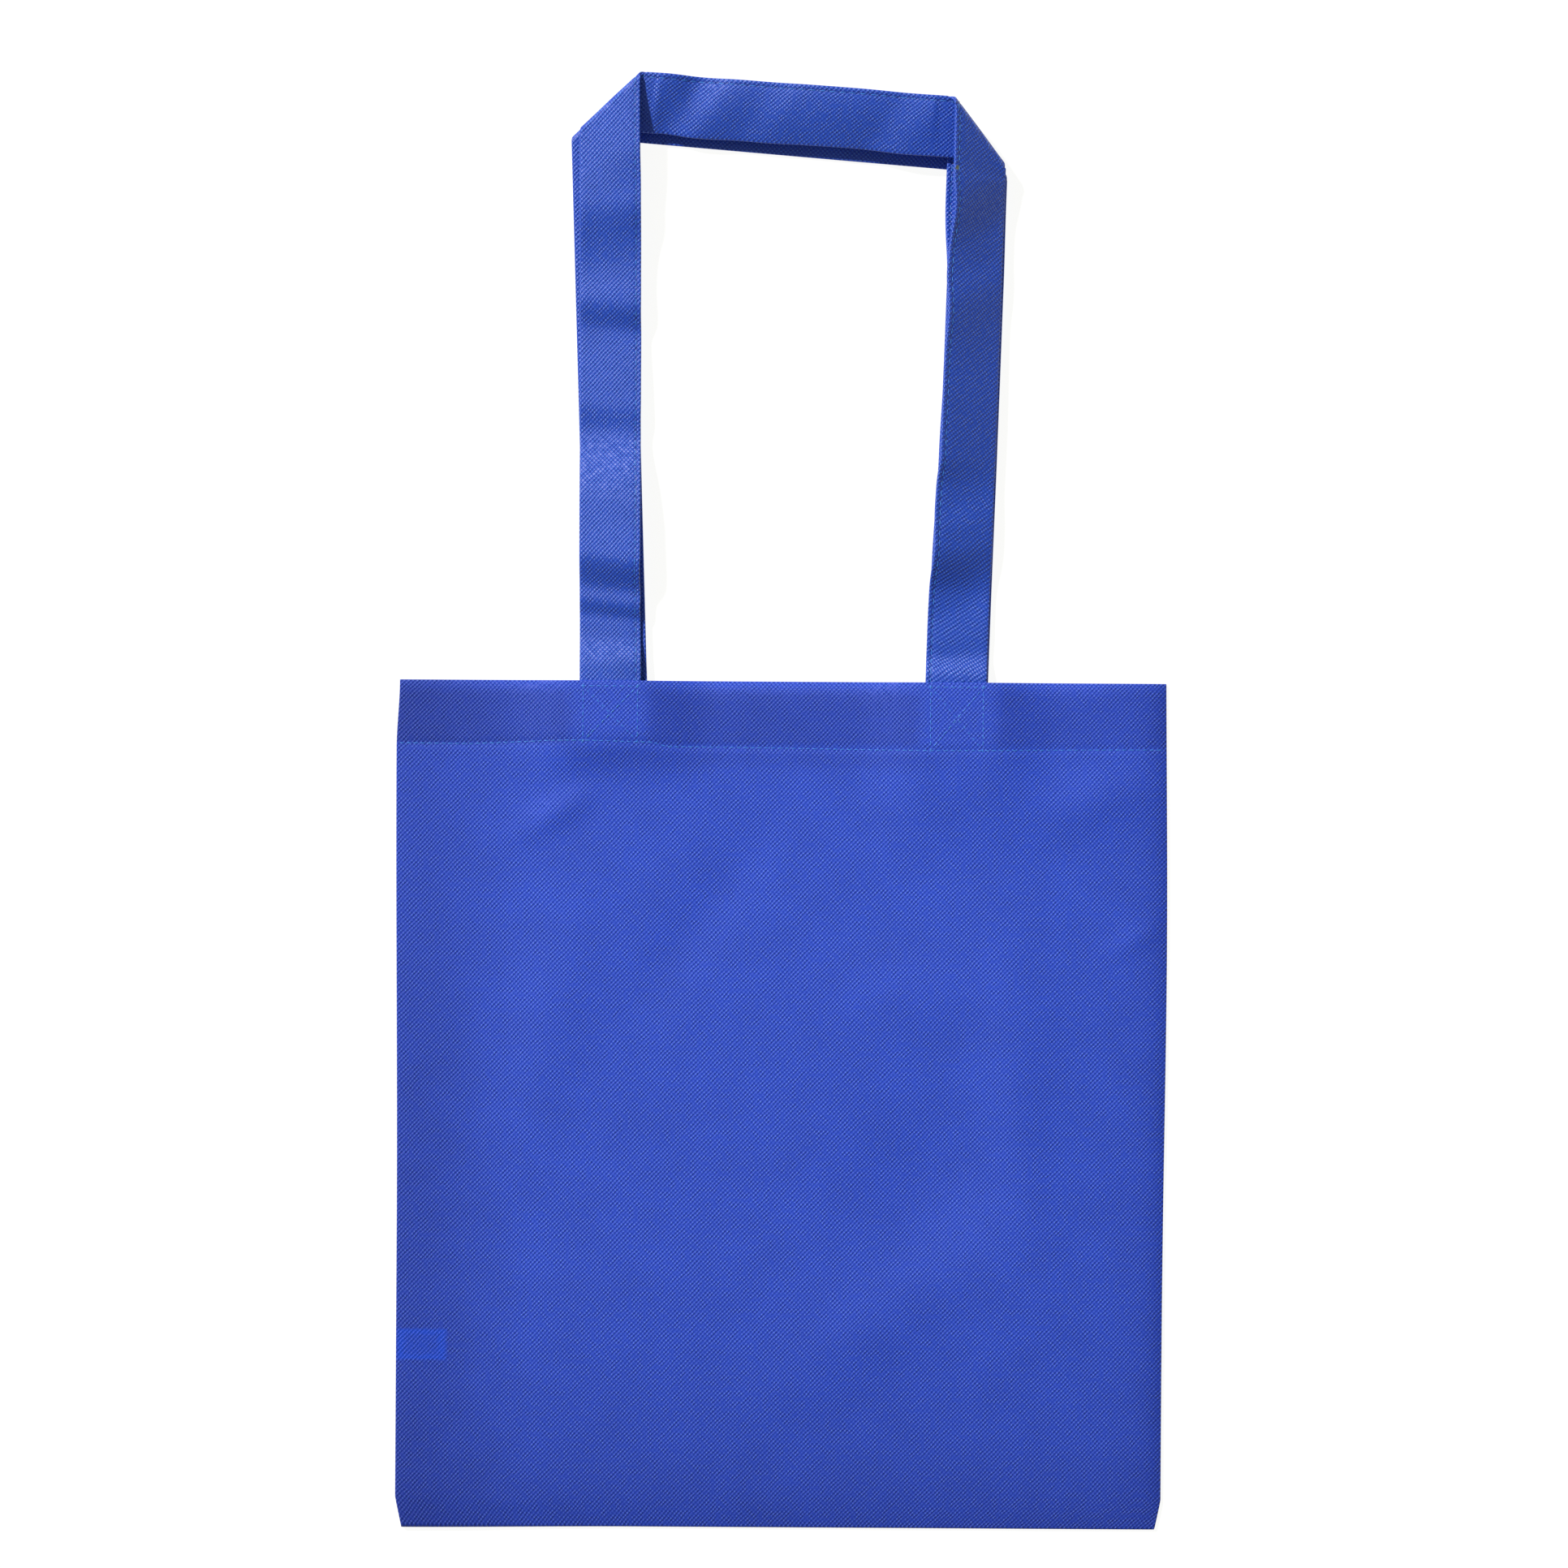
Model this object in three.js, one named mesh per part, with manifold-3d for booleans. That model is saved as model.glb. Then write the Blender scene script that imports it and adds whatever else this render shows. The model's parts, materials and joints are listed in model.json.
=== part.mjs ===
// A non-woven tote bag, empty and lying flat, with its two long handles folded over at their corners.
// Millimetres. X runs across the bag, Y from its bottom fold towards the handles, Z up from the table.
// The bag is modelled with Y = 0 at its mouth, and then moved so that the middle of its footprint
// is the origin.

import * as THREE from "three";
import { mergeVertices } from "three/addons/utils/BufferGeometryUtils.js";
import Module from "manifold-3d";

const wasm = await Module();
wasm.setup();

// Cloth and the air between its layers
const CLOTH = 0.4;
const LAYER_GAP = 0.1;
const CLEARANCE = 0.3;

// Bag body
const BAG_WIDTH = 380;
const BAG_HEIGHT = 420;
const HEM_DEPTH = 32;
const SEAM_ALLOWANCE = 8;
const EDGE_AIR = 0.8;
const EDGE_BEVEL = 0.5;
const EDGE_RISE = 45;
const CORNER_TUCK = 3;
const CORNER_TUCK_HEIGHT = 14;

// Handle straps: a strip with both raw edges turned in, folded in half and stitched along the open edge
const STRAP_WIDTH = 30;
const STRAP_LIP = 10;
const LIP_STEP = 0.05;
const STRAP_TAIL = 30;
const FOLD_AIR = 1;
const TAIL_AIR = 0.6;
const STACK_AIR = 1.5;

// How each handle lies. An edge is where a strap's outer, folded edge leaves the mouth, reach is the
// height of the cross run's upper edge above the mouth, and slope is its fall towards the right.
// A tilt is how far the strap's inner edge stands above its outer one, along the run and at the corner.
const FRONT_LIE = {
  left: { edge: 100.6, lean: 0.3, tilt: 6, cornerTilt: 5 },
  right: { edge: 101.7, lean: 1.64, tilt: 13, cornerTilt: 9 },
  reach: 297.2,
  slope: 4.6,
};
const BACK_LIE = {
  left: { edge: 97.5, lean: 1.9, tilt: 2, cornerTilt: 1 },
  right: { edge: 101, lean: 1.8, tilt: 5, cornerTilt: 1.5 },
  reach: 292.4,
  slope: 4.9,
};
const SINK_END = 0.35;
const CLIMB_START = 0.6;

// Care label, folded in half and caught in the left side seam
const LABEL_REACH = 25;
const LABEL_WIDTH = 15.5;
const LABEL_ABOVE_BOTTOM = 90;
const LABEL_TAPE = 0.15;
const LABEL_SEAM_INSET = 5;

// Sampling of the curved surfaces
const RISE_SHARES = [0.1, 0.35, 0.55, 0.75, 1];
const RUN_STEPS = 10;
const CROSS_STEPS = 4;
const CORNER_STEPS = 6;
const CORNER_SETBACK = 6;
const PAST_MOUTH = 5;

// Heights that follow from the layers
const STRAP_THICKNESS = 4 * CLOTH + 3 * LAYER_GAP;
const FACING_STACK = 2 * CLOTH + LAYER_GAP;
const BACK_TAIL_Z = FACING_STACK + CLEARANCE;
const FRONT_TAIL_Z = BACK_TAIL_Z + STRAP_THICKNESS + TAIL_AIR;
const BAG_THICKNESS = FRONT_TAIL_Z + STRAP_THICKNESS + CLEARANCE + FACING_STACK;
const EDGE_THICKNESS = 2 * CLOTH + EDGE_AIR;
const FACING_INSET = CLOTH + SEAM_ALLOWANCE + CLEARANCE;

const BACK_LEVELS = {
  tail: BACK_TAIL_Z,
  lie: CLEARANCE,
  crossTop: STRAP_THICKNESS,
};
const BACK_CORNER_TOP =
  BACK_LEVELS.crossTop + FOLD_AIR + STRAP_THICKNESS + Math.max(BACK_LIE.left.cornerTilt, BACK_LIE.right.cornerTilt);
const FRONT_LEVELS = {
  tail: FRONT_TAIL_Z,
  lie: BACK_LEVELS.lie + STRAP_THICKNESS + STACK_AIR,
  crossTop: BACK_CORNER_TOP + CLEARANCE + STRAP_THICKNESS,
};

const UP = new THREE.Vector3(0, 0, 1);

// Finishes
const clothBlue = new THREE.MeshStandardMaterial({ color: 0x3a52ba, roughness: 0.75, metalness: 0 });
const labelWhite = new THREE.MeshStandardMaterial({ color: 0xf1f1ec, roughness: 0.6, metalness: 0 });

// Closed geometry and joining

function closed(geometry) {
  geometry.deleteAttribute("normal");
  geometry.deleteAttribute("uv");
  return mergeVertices(geometry, 1e-5);
}

function toSolid(geometry) {
  const vertProperties = new Float32Array(geometry.getAttribute("position").array);
  const triVerts = new Uint32Array(geometry.getIndex().array);
  return new wasm.Manifold(new wasm.Mesh({ numProp: 3, vertProperties, triVerts }));
}

function toGeometry(solid) {
  const mesh = solid.getMesh();
  const geometry = new THREE.BufferGeometry();
  geometry.setAttribute("position", new THREE.BufferAttribute(mesh.vertProperties, 3));
  geometry.setIndex(new THREE.BufferAttribute(mesh.triVerts, 1));
  return geometry;
}

// Bag body: the two panels meet at closed edges and swell apart inside them

function swell(distance) {
  const share = Math.min(distance / EDGE_RISE, 1);
  return 1 - (1 - share) ** 2;
}

function bevel(fromSide, fromBottom) {
  return Math.max(0, EDGE_BEVEL - Math.min(fromSide, fromBottom));
}

function underside(fromSide, fromBottom) {
  return bevel(fromSide, fromBottom);
}

function topside(fromSide, fromBottom) {
  const rise = (BAG_THICKNESS - EDGE_THICKNESS) * swell(fromSide) * swell(fromBottom);
  return EDGE_THICKNESS - bevel(fromSide, fromBottom) + rise;
}

function halfWidth(fromBottom) {
  const share = Math.min(fromBottom / CORNER_TUCK_HEIGHT, 1);
  return BAG_WIDTH / 2 - CORNER_TUCK * (1 - share);
}

function ascending(values) {
  return [...new Set(values)].sort((a, b) => a - b);
}

const RISE_STEPS = RISE_SHARES.map((share) => share * EDGE_RISE);
const SIDE_INSETS = ascending([0, EDGE_BEVEL, FACING_INSET, ...RISE_STEPS]);
const BODY_ROWS = ascending([0, EDGE_BEVEL, CORNER_TUCK_HEIGHT, ...RISE_STEPS, BAG_HEIGHT]);

function leftColumns(insets) {
  return insets.map((fromSide) => ({ side: -1, fromSide }));
}

function rightColumns(insets) {
  return insets.map((fromSide) => ({ side: 1, fromSide })).reverse();
}

function wholeWidth(firstInset) {
  const insets = [firstInset, ...SIDE_INSETS.filter((inset) => inset > firstInset)];
  return [...leftColumns(insets), ...rightColumns(insets)];
}

// A block of cells whose columns run across the bag and whose rows run up it, between two surfaces
function clothSolid(columns, rows, lower, upper) {
  const across = columns.length - 1;
  const along = rows.length - 1;
  const geometry = new THREE.BoxGeometry(across, along, 1, across, along, 1);
  geometry.translate(across / 2, along / 2, 0);
  const position = geometry.getAttribute("position");
  for (let index = 0; index < position.count; index += 1) {
    const { side, fromSide } = columns[Math.round(position.getX(index))];
    const fromBottom = rows[Math.round(position.getY(index))];
    const surface = position.getZ(index) > 0 ? upper : lower;
    const x = side * (halfWidth(fromBottom) - fromSide);
    position.setXYZ(index, x, fromBottom - BAG_HEIGHT, surface(fromSide, fromBottom));
  }
  return closed(geometry);
}

function bagShell() {
  const cavityRows = [CLOTH, ...BODY_ROWS.filter((row) => row > CLOTH), BAG_HEIGHT + PAST_MOUTH];
  const outside = clothSolid(wholeWidth(0), BODY_ROWS, underside, topside);
  const inside = clothSolid(
    wholeWidth(CLOTH),
    cavityRows,
    (side, bottom) => underside(side, bottom) + CLOTH,
    (side, bottom) => topside(side, bottom) - CLOTH,
  );
  return toSolid(outside).subtract(toSolid(inside));
}

// The hem turned down inside the front panel, and the fold that joins it to the panel's upper edge
function frontFacing() {
  const columns = wholeWidth(FACING_INSET);
  const foldRows = [BAG_HEIGHT - CLOTH, BAG_HEIGHT];
  const inner = (side, bottom) => topside(side, bottom) - FACING_STACK;
  const outer = (side, bottom) => inner(side, bottom) + CLOTH;
  const intoPanel = (side, bottom) => topside(side, bottom) - CLOTH / 2;
  const facing = clothSolid(columns, [BAG_HEIGHT - HEM_DEPTH, BAG_HEIGHT], inner, outer);
  return toSolid(facing).add(toSolid(clothSolid(columns, foldRows, inner, intoPanel)));
}

function backFacing() {
  const columns = wholeWidth(FACING_INSET);
  const foldRows = [BAG_HEIGHT - CLOTH, BAG_HEIGHT];
  const inner = (side, bottom) => underside(side, bottom) + FACING_STACK;
  const outer = (side, bottom) => inner(side, bottom) - CLOTH;
  const intoPanel = (side, bottom) => underside(side, bottom) + CLOTH / 2;
  const facing = clothSolid(columns, [BAG_HEIGHT - HEM_DEPTH, BAG_HEIGHT], outer, inner);
  return toSolid(facing).add(toSolid(clothSolid(columns, foldRows, intoPanel, inner)));
}

// The two raw edges of a side seam, turned inside and lying on the back panel
function seamAllowance(columnsOnSide) {
  const insets = ascending([CLOTH / 2, EDGE_BEVEL, CLOTH + SEAM_ALLOWANCE]);
  const rows = [CLOTH / 2, ...BODY_ROWS.filter((row) => row > CLOTH / 2)];
  const lower = (side, bottom) => underside(side, bottom) + CLOTH + LAYER_GAP;
  const upper = (side, bottom) =>
    Math.min(lower(side, bottom) + 2 * CLOTH, topside(side, bottom) - CLOTH / 2);
  return toSolid(clothSolid(columnsOnSide(insets), rows, lower, upper));
}

function bagBodyGeometry() {
  const body = bagShell()
    .add(frontFacing())
    .add(backFacing())
    .add(seamAllowance(leftColumns))
    .add(seamAllowance(rightColumns));
  return toGeometry(body);
}

// Handles

// Section of a strap as a ring of points: x from the open, stitched edge to the folded one, y through
// its four layers. Past the turned-in edges the strap is a little thinner.
function strapSection() {
  const pitch = CLOTH + LAYER_GAP;
  const top = STRAP_THICKNESS;
  const upperLip = 2 * pitch;
  const lowerLip = pitch;
  const foldBevel = CLOTH / 2;
  return [
    new THREE.Vector2(0, 0),
    new THREE.Vector2(STRAP_LIP, 0),
    new THREE.Vector2(STRAP_WIDTH - foldBevel, LIP_STEP),
    new THREE.Vector2(STRAP_WIDTH, LIP_STEP + foldBevel),
    new THREE.Vector2(STRAP_WIDTH, top - LIP_STEP - foldBevel),
    new THREE.Vector2(STRAP_WIDTH - foldBevel, top - LIP_STEP),
    new THREE.Vector2(STRAP_LIP, top),
    new THREE.Vector2(0, top),
    new THREE.Vector2(0, upperLip),
    new THREE.Vector2(STRAP_LIP, upperLip),
    new THREE.Vector2(STRAP_LIP, upperLip + CLOTH),
    new THREE.Vector2(CLOTH, upperLip + CLOTH),
    new THREE.Vector2(CLOTH, top - CLOTH),
    new THREE.Vector2(STRAP_LIP, top - CLOTH),
    new THREE.Vector2(STRAP_WIDTH - CLOTH, top - LIP_STEP - CLOTH),
    new THREE.Vector2(STRAP_WIDTH - CLOTH, LIP_STEP + CLOTH),
    new THREE.Vector2(STRAP_LIP, CLOTH),
    new THREE.Vector2(CLOTH, CLOTH),
    new THREE.Vector2(CLOTH, lowerLip),
    new THREE.Vector2(STRAP_LIP, lowerLip),
    new THREE.Vector2(STRAP_LIP, lowerLip + CLOTH),
    new THREE.Vector2(0, lowerLip + CLOTH),
  ];
}

function meetingPoint(pointA, directionA, pointB, directionB) {
  const apart = pointB.clone().sub(pointA);
  const along = apart.cross(directionB) / directionA.cross(directionB);
  return pointA.clone().addScaledVector(directionA, along);
}

function atHeight(point, z) {
  return new THREE.Vector3(point.x, point.y, z);
}

// The cross run at the far end of a handle, seen from above
function crossLines(lie) {
  const slope = THREE.MathUtils.degToRad(lie.slope);
  const direction = new THREE.Vector2(Math.cos(slope), -Math.sin(slope));
  const up = new THREE.Vector2(Math.sin(slope), Math.cos(slope));
  const openPoint = new THREE.Vector2(0, lie.reach);
  const foldPoint = openPoint.clone().addScaledVector(up, -STRAP_WIDTH);
  return { direction, up, openPoint, foldPoint };
}

// One side of a handle, from the strap's tail inside the bag to the far end of its folded corner
function sideStations(lie, levels, side) {
  const run = side < 0 ? lie.left : lie.right;
  const cross = crossLines(lie);
  const lean = THREE.MathUtils.degToRad(run.lean);
  const upward = new THREE.Vector2(side * Math.sin(lean), Math.cos(lean));
  const inward = new THREE.Vector2(-side * Math.cos(lean), Math.sin(lean));
  const alongCross = cross.direction.clone().multiplyScalar(-side);
  const mouthEdge = new THREE.Vector2(side * run.edge, 0);
  const seenWidth = (tilt) => Math.sqrt(STRAP_WIDTH ** 2 - tilt ** 2);

  const innerEdge = mouthEdge.clone().addScaledVector(inward, seenWidth(run.cornerTilt));
  const foldCorner = meetingPoint(mouthEdge, upward, cross.foldPoint, cross.direction);
  const openCorner = meetingPoint(innerEdge, upward, cross.openPoint, cross.direction);
  const crease = openCorner.clone().sub(foldCorner).normalize();
  const outward = new THREE.Vector3(side * crease.y, -side * crease.x, 0);

  const turnRadius = FOLD_AIR / 2;
  const turnReach = turnRadius + STRAP_THICKNESS;
  const runBack = -turnReach / Math.abs(upward.cross(crease));
  const crossBack = turnReach / Math.abs(alongCross.cross(crease));
  const cornerZ = levels.crossTop + FOLD_AIR;

  const stations = [];
  const runLength = foldCorner.distanceTo(mouthEdge) + runBack - CORNER_SETBACK;
  const placeAcross = (distance, z, tilt) => {
    const fold = mouthEdge.clone().addScaledVector(upward, distance);
    const open = fold.clone().addScaledVector(inward, seenWidth(tilt));
    stations.push({ fold: atHeight(fold, z), open: atHeight(open, z + tilt) });
  };

  placeAcross(-STRAP_TAIL, levels.tail, 0);
  for (let step = 0; step <= RUN_STEPS; step += 1) {
    const share = step / RUN_STEPS;
    const climb = THREE.MathUtils.smoothstep(share, CLIMB_START, 1);
    const sunk = THREE.MathUtils.lerp(
      levels.tail,
      levels.lie,
      THREE.MathUtils.smoothstep(share, 0, SINK_END),
    );
    const tilted = run.tilt * THREE.MathUtils.smoothstep(share, 0, CLIMB_START);
    const z = THREE.MathUtils.lerp(sunk, cornerZ, climb);
    placeAcross(share * runLength, z, THREE.MathUtils.lerp(tilted, run.cornerTilt, climb));
  }

  for (let step = 0; step <= CORNER_STEPS; step += 1) {
    const share = step / CORNER_STEPS;
    const angle = share * Math.PI;
    const normal = UP.clone().multiplyScalar(Math.cos(angle)).addScaledVector(outward, Math.sin(angle));
    const place = (corner) => {
      const fromRun = corner.clone().addScaledVector(upward, runBack);
      const fromCross = corner.clone().addScaledVector(alongCross, crossBack);
      const middle = atHeight(fromRun.lerp(fromCross, share), levels.crossTop + turnRadius);
      return middle.addScaledVector(normal, turnRadius);
    };
    stations.push({ fold: place(foldCorner), open: place(openCorner), normal });
  }
  return stations;
}

function crossStations(lie, levels, leftEnd, rightEnd) {
  const cross = crossLines(lie);
  const distanceOf = (station) =>
    new THREE.Vector2(station.open.x, station.open.y).sub(cross.openPoint).dot(cross.direction);
  const first = distanceOf(leftEnd) + CORNER_SETBACK;
  const last = distanceOf(rightEnd) - CORNER_SETBACK;
  const stations = [];
  for (let step = 0; step <= CROSS_STEPS; step += 1) {
    const distance = THREE.MathUtils.lerp(first, last, step / CROSS_STEPS);
    const open = cross.openPoint.clone().addScaledVector(cross.direction, distance);
    const fold = open.clone().addScaledVector(cross.up, -STRAP_WIDTH);
    stations.push({ open: atHeight(open, levels.crossTop), fold: atHeight(fold, levels.crossTop) });
  }
  return stations;
}

function middleOf(station) {
  return station.open.clone().lerp(station.fold, 0.5);
}

function handleStations(lie, levels) {
  const left = sideStations(lie, levels, -1);
  const right = sideStations(lie, levels, 1).reverse();
  const cross = crossStations(lie, levels, left[left.length - 1], right[0]);
  const stations = [...left, ...cross, ...right];
  const last = stations.length - 1;
  return stations.map((station, index) => {
    const before = middleOf(stations[Math.max(index - 1, 0)]);
    const after = middleOf(stations[Math.min(index + 1, last)]);
    const toFold = station.fold.clone().sub(station.open);
    const surface = after.sub(before).cross(toFold).normalize();
    return { open: station.open, fold: station.fold, normal: station.normal ?? surface };
  });
}

// The strap's faces between one station and the next. Every layer's cells are split along the same
// diagonal, so that the layers of a twisted strap stay apart.
function strapSides(section, stationCount) {
  const around = section.length;
  const triangles = [];
  for (let row = 0; row < stationCount - 1; row += 1) {
    for (let here = 0; here < around; here += 1) {
      const next = (here + 1) % around;
      const nearHere = row * around + here;
      const nearNext = row * around + next;
      const farHere = nearHere + around;
      const farNext = nearNext + around;
      if (section[next].x > section[here].x) {
        triangles.push(nearHere, nearNext, farHere, nearNext, farNext, farHere);
      } else {
        triangles.push(nearHere, nearNext, farNext, nearHere, farNext, farHere);
      }
    }
  }
  return triangles;
}

function strapEnds(section, stationCount) {
  const lastRing = (stationCount - 1) * section.length;
  const cap = THREE.ShapeUtils.triangulateShape(section, []);
  return cap.flatMap(([a, b, c]) => [a, c, b, lastRing + a, lastRing + b, lastRing + c]);
}

function handleGeometry(lie, levels) {
  const stations = handleStations(lie, levels);
  const section = strapSection();
  const points = stations.flatMap((station) =>
    section.map((spot) => {
      const point = station.open.clone().lerp(station.fold, spot.x / STRAP_WIDTH);
      return point.addScaledVector(station.normal, spot.y);
    }),
  );
  const geometry = new THREE.BufferGeometry().setFromPoints(points);
  geometry.setIndex([...strapSides(section, stations.length), ...strapEnds(section, stations.length)]);
  return geometry;
}

// Care label: two thicknesses of tape under the front panel, joined by the fold at their inner end

function careLabelGeometry() {
  const middle = LABEL_ABOVE_BOTTOM;
  const rows = [middle - LABEL_WIDTH / 2, middle + LABEL_WIDTH / 2];
  const foldInset = LABEL_REACH - LABEL_TAPE;
  const between = RISE_STEPS.filter((inset) => inset > LABEL_SEAM_INSET && inset < foldInset);
  const insets = ascending([LABEL_SEAM_INSET, ...between, foldInset]);
  const top = (side, bottom) => topside(side, bottom) - CLOTH - CLEARANCE;
  const below = (depth) => (side, bottom) => top(side, bottom) - depth;
  const upperTape = clothSolid(leftColumns([...insets, LABEL_REACH]), rows, below(LABEL_TAPE), top);
  const lowerTape = clothSolid(
    leftColumns([...insets, LABEL_REACH]),
    rows,
    below(3 * LABEL_TAPE),
    below(2 * LABEL_TAPE),
  );
  const fold = clothSolid(leftColumns([foldInset, LABEL_REACH]), rows, below(3 * LABEL_TAPE), top);
  return toGeometry(toSolid(upperTape).add(toSolid(lowerTape)).add(toSolid(fold)));
}

// The whole bag

function namedMesh(name, geometry, material) {
  const mesh = new THREE.Mesh(geometry, material);
  mesh.name = name;
  return mesh;
}

const bag = new THREE.Group();
bag.add(namedMesh("bag_body", bagBodyGeometry(), clothBlue));
bag.add(namedMesh("front_handle", handleGeometry(FRONT_LIE, FRONT_LEVELS), clothBlue));
bag.add(namedMesh("back_handle", handleGeometry(BACK_LIE, BACK_LEVELS), clothBlue));
bag.add(namedMesh("care_label", careLabelGeometry(), labelWhite));

const footprint = new THREE.Box3().setFromObject(bag);
const centre = footprint.getCenter(new THREE.Vector3());
bag.position.set(-centre.x, -centre.y, -footprint.min.z);

export default bag;
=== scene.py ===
# %% [markdown]
# # A non-woven tote bag, empty and lying flat
#
# The bag is sewn from spunbond polypropylene. That is a thin felt-like cloth of endless plastic
# fibres, held together by a grid of tiny pressed points instead of by weaving. One long piece of it
# is folded at the bottom, sewn up both sides and hemmed at the mouth, and two narrow strips of it
# make the handles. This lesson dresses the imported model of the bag: every length of cloth becomes a
# thin folded sheet, every seam that shows gets its thread, and the light and camera come last.

# %% Load the frame
import json
import math

import bpy
import numpy as np
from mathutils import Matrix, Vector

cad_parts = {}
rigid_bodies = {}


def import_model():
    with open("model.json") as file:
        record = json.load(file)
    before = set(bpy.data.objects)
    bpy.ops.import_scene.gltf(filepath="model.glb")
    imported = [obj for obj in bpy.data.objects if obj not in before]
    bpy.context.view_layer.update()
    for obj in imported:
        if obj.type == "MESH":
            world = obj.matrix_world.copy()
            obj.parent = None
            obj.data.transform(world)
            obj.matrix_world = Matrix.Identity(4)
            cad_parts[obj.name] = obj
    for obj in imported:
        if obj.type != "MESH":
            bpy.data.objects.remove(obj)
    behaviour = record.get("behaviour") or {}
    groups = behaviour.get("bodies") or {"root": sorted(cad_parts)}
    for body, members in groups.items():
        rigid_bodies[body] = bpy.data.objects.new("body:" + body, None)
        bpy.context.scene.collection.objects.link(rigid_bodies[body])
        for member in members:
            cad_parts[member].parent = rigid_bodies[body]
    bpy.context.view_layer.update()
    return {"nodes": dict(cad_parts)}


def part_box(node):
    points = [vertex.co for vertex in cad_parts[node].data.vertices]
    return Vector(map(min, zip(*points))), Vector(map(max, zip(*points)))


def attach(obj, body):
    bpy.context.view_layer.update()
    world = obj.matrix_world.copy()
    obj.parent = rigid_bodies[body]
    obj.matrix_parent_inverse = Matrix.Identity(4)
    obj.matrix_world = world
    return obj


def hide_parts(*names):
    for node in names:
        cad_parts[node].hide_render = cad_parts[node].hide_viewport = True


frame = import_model()
BODY_LOW, BODY_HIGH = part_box("bag_body")
LABEL_LOW, LABEL_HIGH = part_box("care_label")
MM = 0.001
print("frame nodes:", sorted(frame["nodes"]))

# %% [markdown]
# ## Small helpers
#
# Blender works in metres, so the sizes below are written in millimetres and multiplied by MM. Seven
# short helpers carry the whole lesson. The first three fade smoothly from 0 to 1, run smoothly through
# a list of values and measure along a line. The fourth raises a soft hill on a surface. The last three
# link an object to the scene, turn a grid of points into a sheet of cloth and give that sheet its
# thickness. The sheet gets a UV map that is measured in metres along the cloth itself, so that a
# pattern keeps its size and follows every fold.

# %% Smooth steps, soft hills and sheets from grids


def fade(value, start, end):
    """A smooth step from 0 at the start to 1 at the end."""
    share = np.clip((value - start) / (end - start), 0, 1)
    return share * share * (3 - 2 * share)


def along_keys(distance, keys):
    """A smooth way through keys of (distance, value) in millimetres, level at each of them."""
    places, values = np.array(keys, float).T * MM
    last = np.clip(np.searchsorted(places, distance, side="right") - 1, 0, len(places) - 2)
    share = fade(distance, places[last], places[last + 1])
    return values[last] + (values[last + 1] - values[last]) * share


def length_along(points):
    """How far each point of a line lies from the first one, measured along the line."""
    steps = np.linalg.norm(np.diff(points, axis=0), axis=1)
    return np.concatenate([[0], np.cumsum(steps)])


def hill(x, y, centre, radii, turn):
    """A soft round hill of height 1, longer along its turned x axis if the first radius is larger."""
    angle = math.radians(turn)
    right = (x - centre[0]) * math.cos(angle) + (y - centre[1]) * math.sin(angle)
    up = (y - centre[1]) * math.cos(angle) - (x - centre[0]) * math.sin(angle)
    return np.exp(-((right / radii[0]) ** 2) - (up / radii[1]) ** 2)


def into_scene(name, data):
    """A new object that holds this mesh, lamp or camera, linked to the scene."""
    made = bpy.data.objects.new(name, data)
    bpy.context.scene.collection.objects.link(made)
    return made


def cloth_from_grid(name, points, sheet_uv, tone, used):
    """A sheet of cloth from a grid of points, made only where all four corners of a cell are used."""
    number = np.cumsum(used).reshape(used.shape) - 1
    whole = used[:-1, :-1] & used[1:, :-1] & used[:-1, 1:] & used[1:, 1:]
    corners = [number[:-1, :-1], number[1:, :-1], number[1:, 1:], number[:-1, 1:]]
    faces = np.stack([corner[whole] for corner in corners], axis=1)
    mesh = bpy.data.meshes.new(name)
    mesh.from_pydata(points[used].tolist(), [], faces.tolist())
    loop_points = np.zeros(len(mesh.loops), int)
    mesh.loops.foreach_get("vertex_index", loop_points)
    layer = mesh.uv_layers.new(name="cloth")
    layer.data.foreach_set("uv", sheet_uv[used][loop_points].ravel())
    shade = mesh.attributes.new("tone", "FLOAT", "POINT")
    shade.data.foreach_set("value", tone[used])
    mesh.polygons.foreach_set("use_smooth", [True] * len(mesh.polygons))
    return into_scene(name, mesh)


def give_thickness(piece, thickness):
    """Half of the thickness goes to each side of the sheet."""
    wall = piece.modifiers.new("cloth_thickness", "SOLIDIFY")
    wall.thickness = thickness
    wall.offset = 0
    print(piece.name, "faces in the sheet:", len(piece.data.polygons))


# %% [markdown]
# ## Nodes, colours and materials
#
# A material is a small network of nodes. Writing each node in three or four lines makes a script long
# and hard to read, so one function adds a node, sets it up and links it. Colours are picked as sRGB
# hex values, the way a screen shows them, and the renderer wants linear light, so a second function
# turns the one into the other. A third one starts an empty material.

# %% Node and colour helpers


def add(tree, kind, inputs=None, **settings):
    """Add a node. Inputs are given by name or number, as a value, another node's output or the node
    itself, which then stands for its first output."""
    node = tree.nodes.new(kind)
    for name, value in settings.items():
        setattr(node, name, value)
    for key, value in (inputs or {}).items():
        if isinstance(value, bpy.types.Node):
            value = value.outputs[0]
        if isinstance(value, bpy.types.NodeSocket):
            tree.links.new(value, node.inputs[key])
        else:
            node.inputs[key].default_value = value
    return node


def linear(hex_colour):
    """An sRGB colour such as #1331A9 as linear red, green, blue and opacity."""
    shares = [int(hex_colour[i : i + 2], 16) / 255 for i in (1, 3, 5)]
    light = [s / 12.92 if s <= 0.04045 else ((s + 0.055) / 1.055) ** 2.4 for s in shares]
    return (*light, 1.0)


def new_material(name):
    """An empty material and its tree of nodes."""
    material = bpy.data.materials.new(name)
    material.use_nodes = True
    material.node_tree.nodes.clear()
    return material, material.node_tree


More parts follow.
